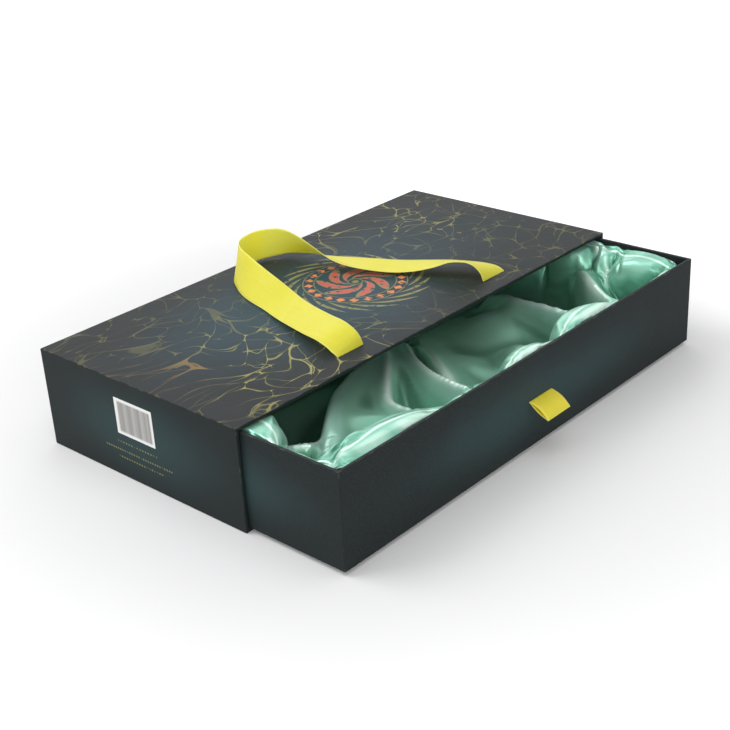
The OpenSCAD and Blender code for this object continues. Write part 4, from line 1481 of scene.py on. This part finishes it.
def tray_mould():
    """The inside of the tray at the size of the simulation: a floor and four walls that face in."""
    half_x, half_y = RIM_X + MOULD_GAP[0], RIM_Y + MOULD_GAP[1]
    corners = np.array([[-half_x, -half_y], [half_x, -half_y], [half_x, half_y],
                        [-half_x, half_y]])
    low = np.column_stack([corners[:, 0], corners[:, 1] + TRAY_Y, np.full(4, PAD_TOP)])
    high = low.copy()
    high[:, 2] = MOULD_TOP
    faces = [(0, 1, 2, 3)] + [(k, k + 4, (k + 1) % 4 + 4, (k + 1) % 4) for k in range(4)]
    return add_mesh("tray_mould", np.concatenate([low, high]) * MM * SIM_SCALE, faces, False)


def assign(target, settings):
    """Sets named values on one of Blender's settings."""
    for key, value in settings.items():
        setattr(target, key, value)


def add_group(piece, name, values):
    """Adds a vertex group in which each point weighs its value."""
    group = piece.vertex_groups.new(name=name)
    for value in np.unique(values):
        group.add(np.flatnonzero(values == value).tolist(), float(value), "REPLACE")


def settle(cloth, weights, slack):
    """Lets the sheet settle in the tray with more cloth than its start shape holds, so it buckles
    into folds. It is worked out ten times as large, which the solver's distances suit. Where the
    cloth has slack it is limp, and elsewhere it is stiff."""
    scene = bpy.context.scene
    cloth.data.transform(Matrix.Scale(SIM_SCALE, 4))
    add_group(cloth, "hold", weights)
    add_group(cloth, "ease", slack)
    add_group(cloth, "stiff", 1 - slack)
    mould = tray_mould()
    mould.modifiers.new("stop", "COLLISION")
    assign(mould.collision, MOULD_SETTINGS)
    soft = cloth.modifiers.new("settle", "CLOTH")
    assign(soft.settings, CLOTH_SETTINGS)
    soft.settings.effector_weights.gravity = CLOTH_GRAVITY
    assign(soft.collision_settings, CONTACT_SETTINGS)
    soft.point_cache.frame_start = 1
    soft.point_cache.frame_end = CLOTH_FRAMES
    for number in range(1, CLOTH_FRAMES + 1):
        scene.frame_set(number)
    apply_modifiers(cloth)
    scene.frame_set(1)
    bpy.data.objects.remove(mould)
    cloth.vertex_groups.clear()
    cloth.data.transform(Matrix.Scale(1 / SIM_SCALE, 4))


class GIFTBOX_OT_satin_lining(bpy.types.Operator):
    """Gather the satin lining round the tray's rim and let it settle"""

    bl_idname = "giftbox.satin_lining"
    bl_label = "Satin lining"

    def execute(self, context):
        points, ring = satin_shape()
        cloth = add_mesh("satin_cloth", points.reshape(-1, 3), quads(CLOTH_U, CLOTH_V).tolist())
        slack = np.round(np.clip(SLACK_START - ring / SLACK_RINGS, 0, 1).ravel(), 2)
        settle(cloth, hold_weights(points, ring), slack)
        u, v = np.meshgrid(np.arange(CLOTH_U), np.arange(CLOTH_V), indexing="ij")
        set_uv(cloth, np.stack([u.ravel(), v.ravel()], axis=1) * UV_STEP)
        face_up(cloth)
        # The crest mark sets the satin's painted highlights on crests and painted shade in hollows.
        mark_points(cloth, "crest", crest_share(cloth))
        smooth = cloth.modifiers.new("smooth", "SUBSURF")
        smooth.levels = smooth.render_levels = 1
        apply_modifiers(cloth)
        sharpen_folds(cloth)
        wall = cloth.modifiers.new("thickness", "SOLIDIFY")
        wall.thickness = sizes().satin_thickness
        wall.offset = 0
        dress(cloth, green_satin(look()), "tray", "green_satin", "satin_lining")
        return {"FINISHED"}


# ---- stage ----

class GIFTBOX_OT_stage(bpy.types.Operator):
    """Set up the camera, the pale floor and the soft studio light"""

    bl_idname = "giftbox.stage"
    bl_label = "Stage"

    def execute(self, context):
        scene = context.scene
        scene.view_settings.view_transform = "Standard"
        self.camera(scene)
        self.floor(scene)
        self.lights(scene)
        self.room(scene)
        return {"FINISHED"}

    def camera(self, scene):
        """The camera looks along its back vector reversed, rolled about it."""
        azimuth, elevation, roll = map(math.radians, CAMERA_TURN)
        back = Vector((math.sin(azimuth) * math.cos(elevation),
                       -math.cos(azimuth) * math.cos(elevation), math.sin(elevation)))
        right = Vector((math.cos(azimuth), math.sin(azimuth), 0))
        up = back.cross(right)
        turned_right = math.cos(roll) * right + math.sin(roll) * up
        turned_up = math.cos(roll) * up - math.sin(roll) * right
        data = bpy.data.cameras.new("camera")
        data.lens = CAMERA_LENS
        data.sensor_width = CAMERA_SENSOR
        data.clip_start = 0.01
        data.clip_end = 50
        camera = bpy.data.objects.new("camera", data)
        scene.collection.objects.link(camera)
        turn = Matrix((turned_right, turned_up, back)).transposed()
        camera.matrix_world = Matrix.Translation(CAMERA_PLACE) @ turn.to_4x4()
        scene.camera = camera

    def floor(self, scene):
        """A wide disc whose rings grow outwards, a pale floor that keeps the shadow."""
        rings = np.array(GROUND_RINGS)[:, None]
        turn = np.linspace(0, 2 * np.pi, GROUND_SIDES, endpoint=False)
        x, y = rings * np.cos(turn), rings * np.sin(turn)
        points = np.stack([x, y, np.full_like(x, GROUND_Z)], axis=2).reshape(-1, 3)
        faces = quads(*x.shape, close_columns=True).tolist()
        faces.append(list(range(GROUND_SIDES)))
        floor = add_mesh("floor", points, faces)
        finish = Finish("floor", Roughness=0.7, Specular_IOR_Level=0.1)
        cloud = finish.noise(finish.place(), 3, detail=2)
        finish.use("Base Color", finish.mix(cloud, (0.72, 0.72, 0.73), (0.75, 0.75, 0.75)))
        ray = finish.put("ShaderNodeLightPath", output="Is Camera Ray")
        x, y, _ = finish.parts(finish.place())
        # Painted light: for the camera the floor glows more far from the box and more towards its
        # right.
        far = (x * x + y * y).math("SQRT").step(0.22, 0.70) + x.step(0.12, 0.50) * 0.6
        finish.use("Emission Color", finish.mix(cloud, (1, 1, 1), (0.99, 0.995, 1)))
        finish.use("Emission Strength", ray * (far * FAR_GLOW + FLOOR_GLOW))
        paint(floor, finish.material)

    def lights(self, scene):
        """Soft lamps from behind on the left, above, the front and behind on the right."""
        for name, place, aim, size, power in LAMPS:
            data = bpy.data.lights.new(name, "AREA")
            data.shape = "RECTANGLE"
            data.size, data.size_y = size
            data.energy = power
            lamp = bpy.data.objects.new(name, data)
            scene.collection.objects.link(lamp)
            lamp.location = place
            direction = Vector(aim) - Vector(place)
            lamp.rotation_euler = direction.to_track_quat("-Z", "Y").to_euler()

    def room(self, scene):
        """An even light from all round, stronger to the camera and in reflections."""
        world = bpy.data.worlds.new("studio")
        scene.world = world
        world.use_nodes = True
        tree = world.node_tree
        shader = tree.nodes["Background"]
        shader.inputs["Color"].default_value = (1, 1, 1, 1)
        rays = tree.nodes.new("ShaderNodeLightPath").outputs
        seen = Wire(tree, rays["Is Camera Ray"]).most(Wire(tree, rays["Is Glossy Ray"]))
        feed(tree, shader.inputs["Strength"], seen * (1 - WORLD_LIGHT) + WORLD_LIGHT)


# ---- add-on ----

OPERATORS = (GIFTBOX_OT_stage, GIFTBOX_OT_boards, GIFTBOX_OT_sleeve_paper,
             GIFTBOX_OT_tray_paper, GIFTBOX_OT_end_label, GIFTBOX_OT_ribbon_handle,
             GIFTBOX_OT_pull_tab, GIFTBOX_OT_sponge_pad, GIFTBOX_OT_satin_lining)


class GIFTBOX_PT_pieces(bpy.types.Panel):
    """Lists the pieces of the gift box and their sizes and colours"""

    bl_idname = "GIFTBOX_PT_pieces"
    bl_label = "Gift Box"
    bl_space_type = "VIEW_3D"
    bl_region_type = "UI"
    bl_category = "Gift Box"

    def draw(self, context):
        for operator in OPERATORS:
            self.layout.operator(operator.bl_idname)
        for group in (sizes(), look()):
            box = self.layout.box()
            for name in group.__annotations__:
                box.prop(group, name)


CLASSES = (SurfaceLook, PieceSizes, *OPERATORS, GIFTBOX_PT_pieces)


def register():
    for one in CLASSES:
        bpy.utils.register_class(one)
    bpy.types.Scene.gift_box_look = bpy.props.PointerProperty(type=SurfaceLook)
    bpy.types.Scene.gift_box_sizes = bpy.props.PointerProperty(type=PieceSizes)


def unregister():
    del bpy.types.Scene.gift_box_sizes
    del bpy.types.Scene.gift_box_look
    for one in reversed(CLASSES):
        bpy.utils.unregister_class(one)


def main():
    """Makes every piece in order."""
    register()
    bpy.ops.giftbox.stage()
    bpy.ops.giftbox.boards()
    bpy.ops.giftbox.sleeve_paper()
    bpy.ops.giftbox.tray_paper()
    bpy.ops.giftbox.end_label()
    bpy.ops.giftbox.ribbon_handle()
    bpy.ops.giftbox.pull_tab()
    bpy.ops.giftbox.sponge_pad()
    bpy.ops.giftbox.satin_lining()
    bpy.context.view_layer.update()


if __name__ == "__main__":
    main()
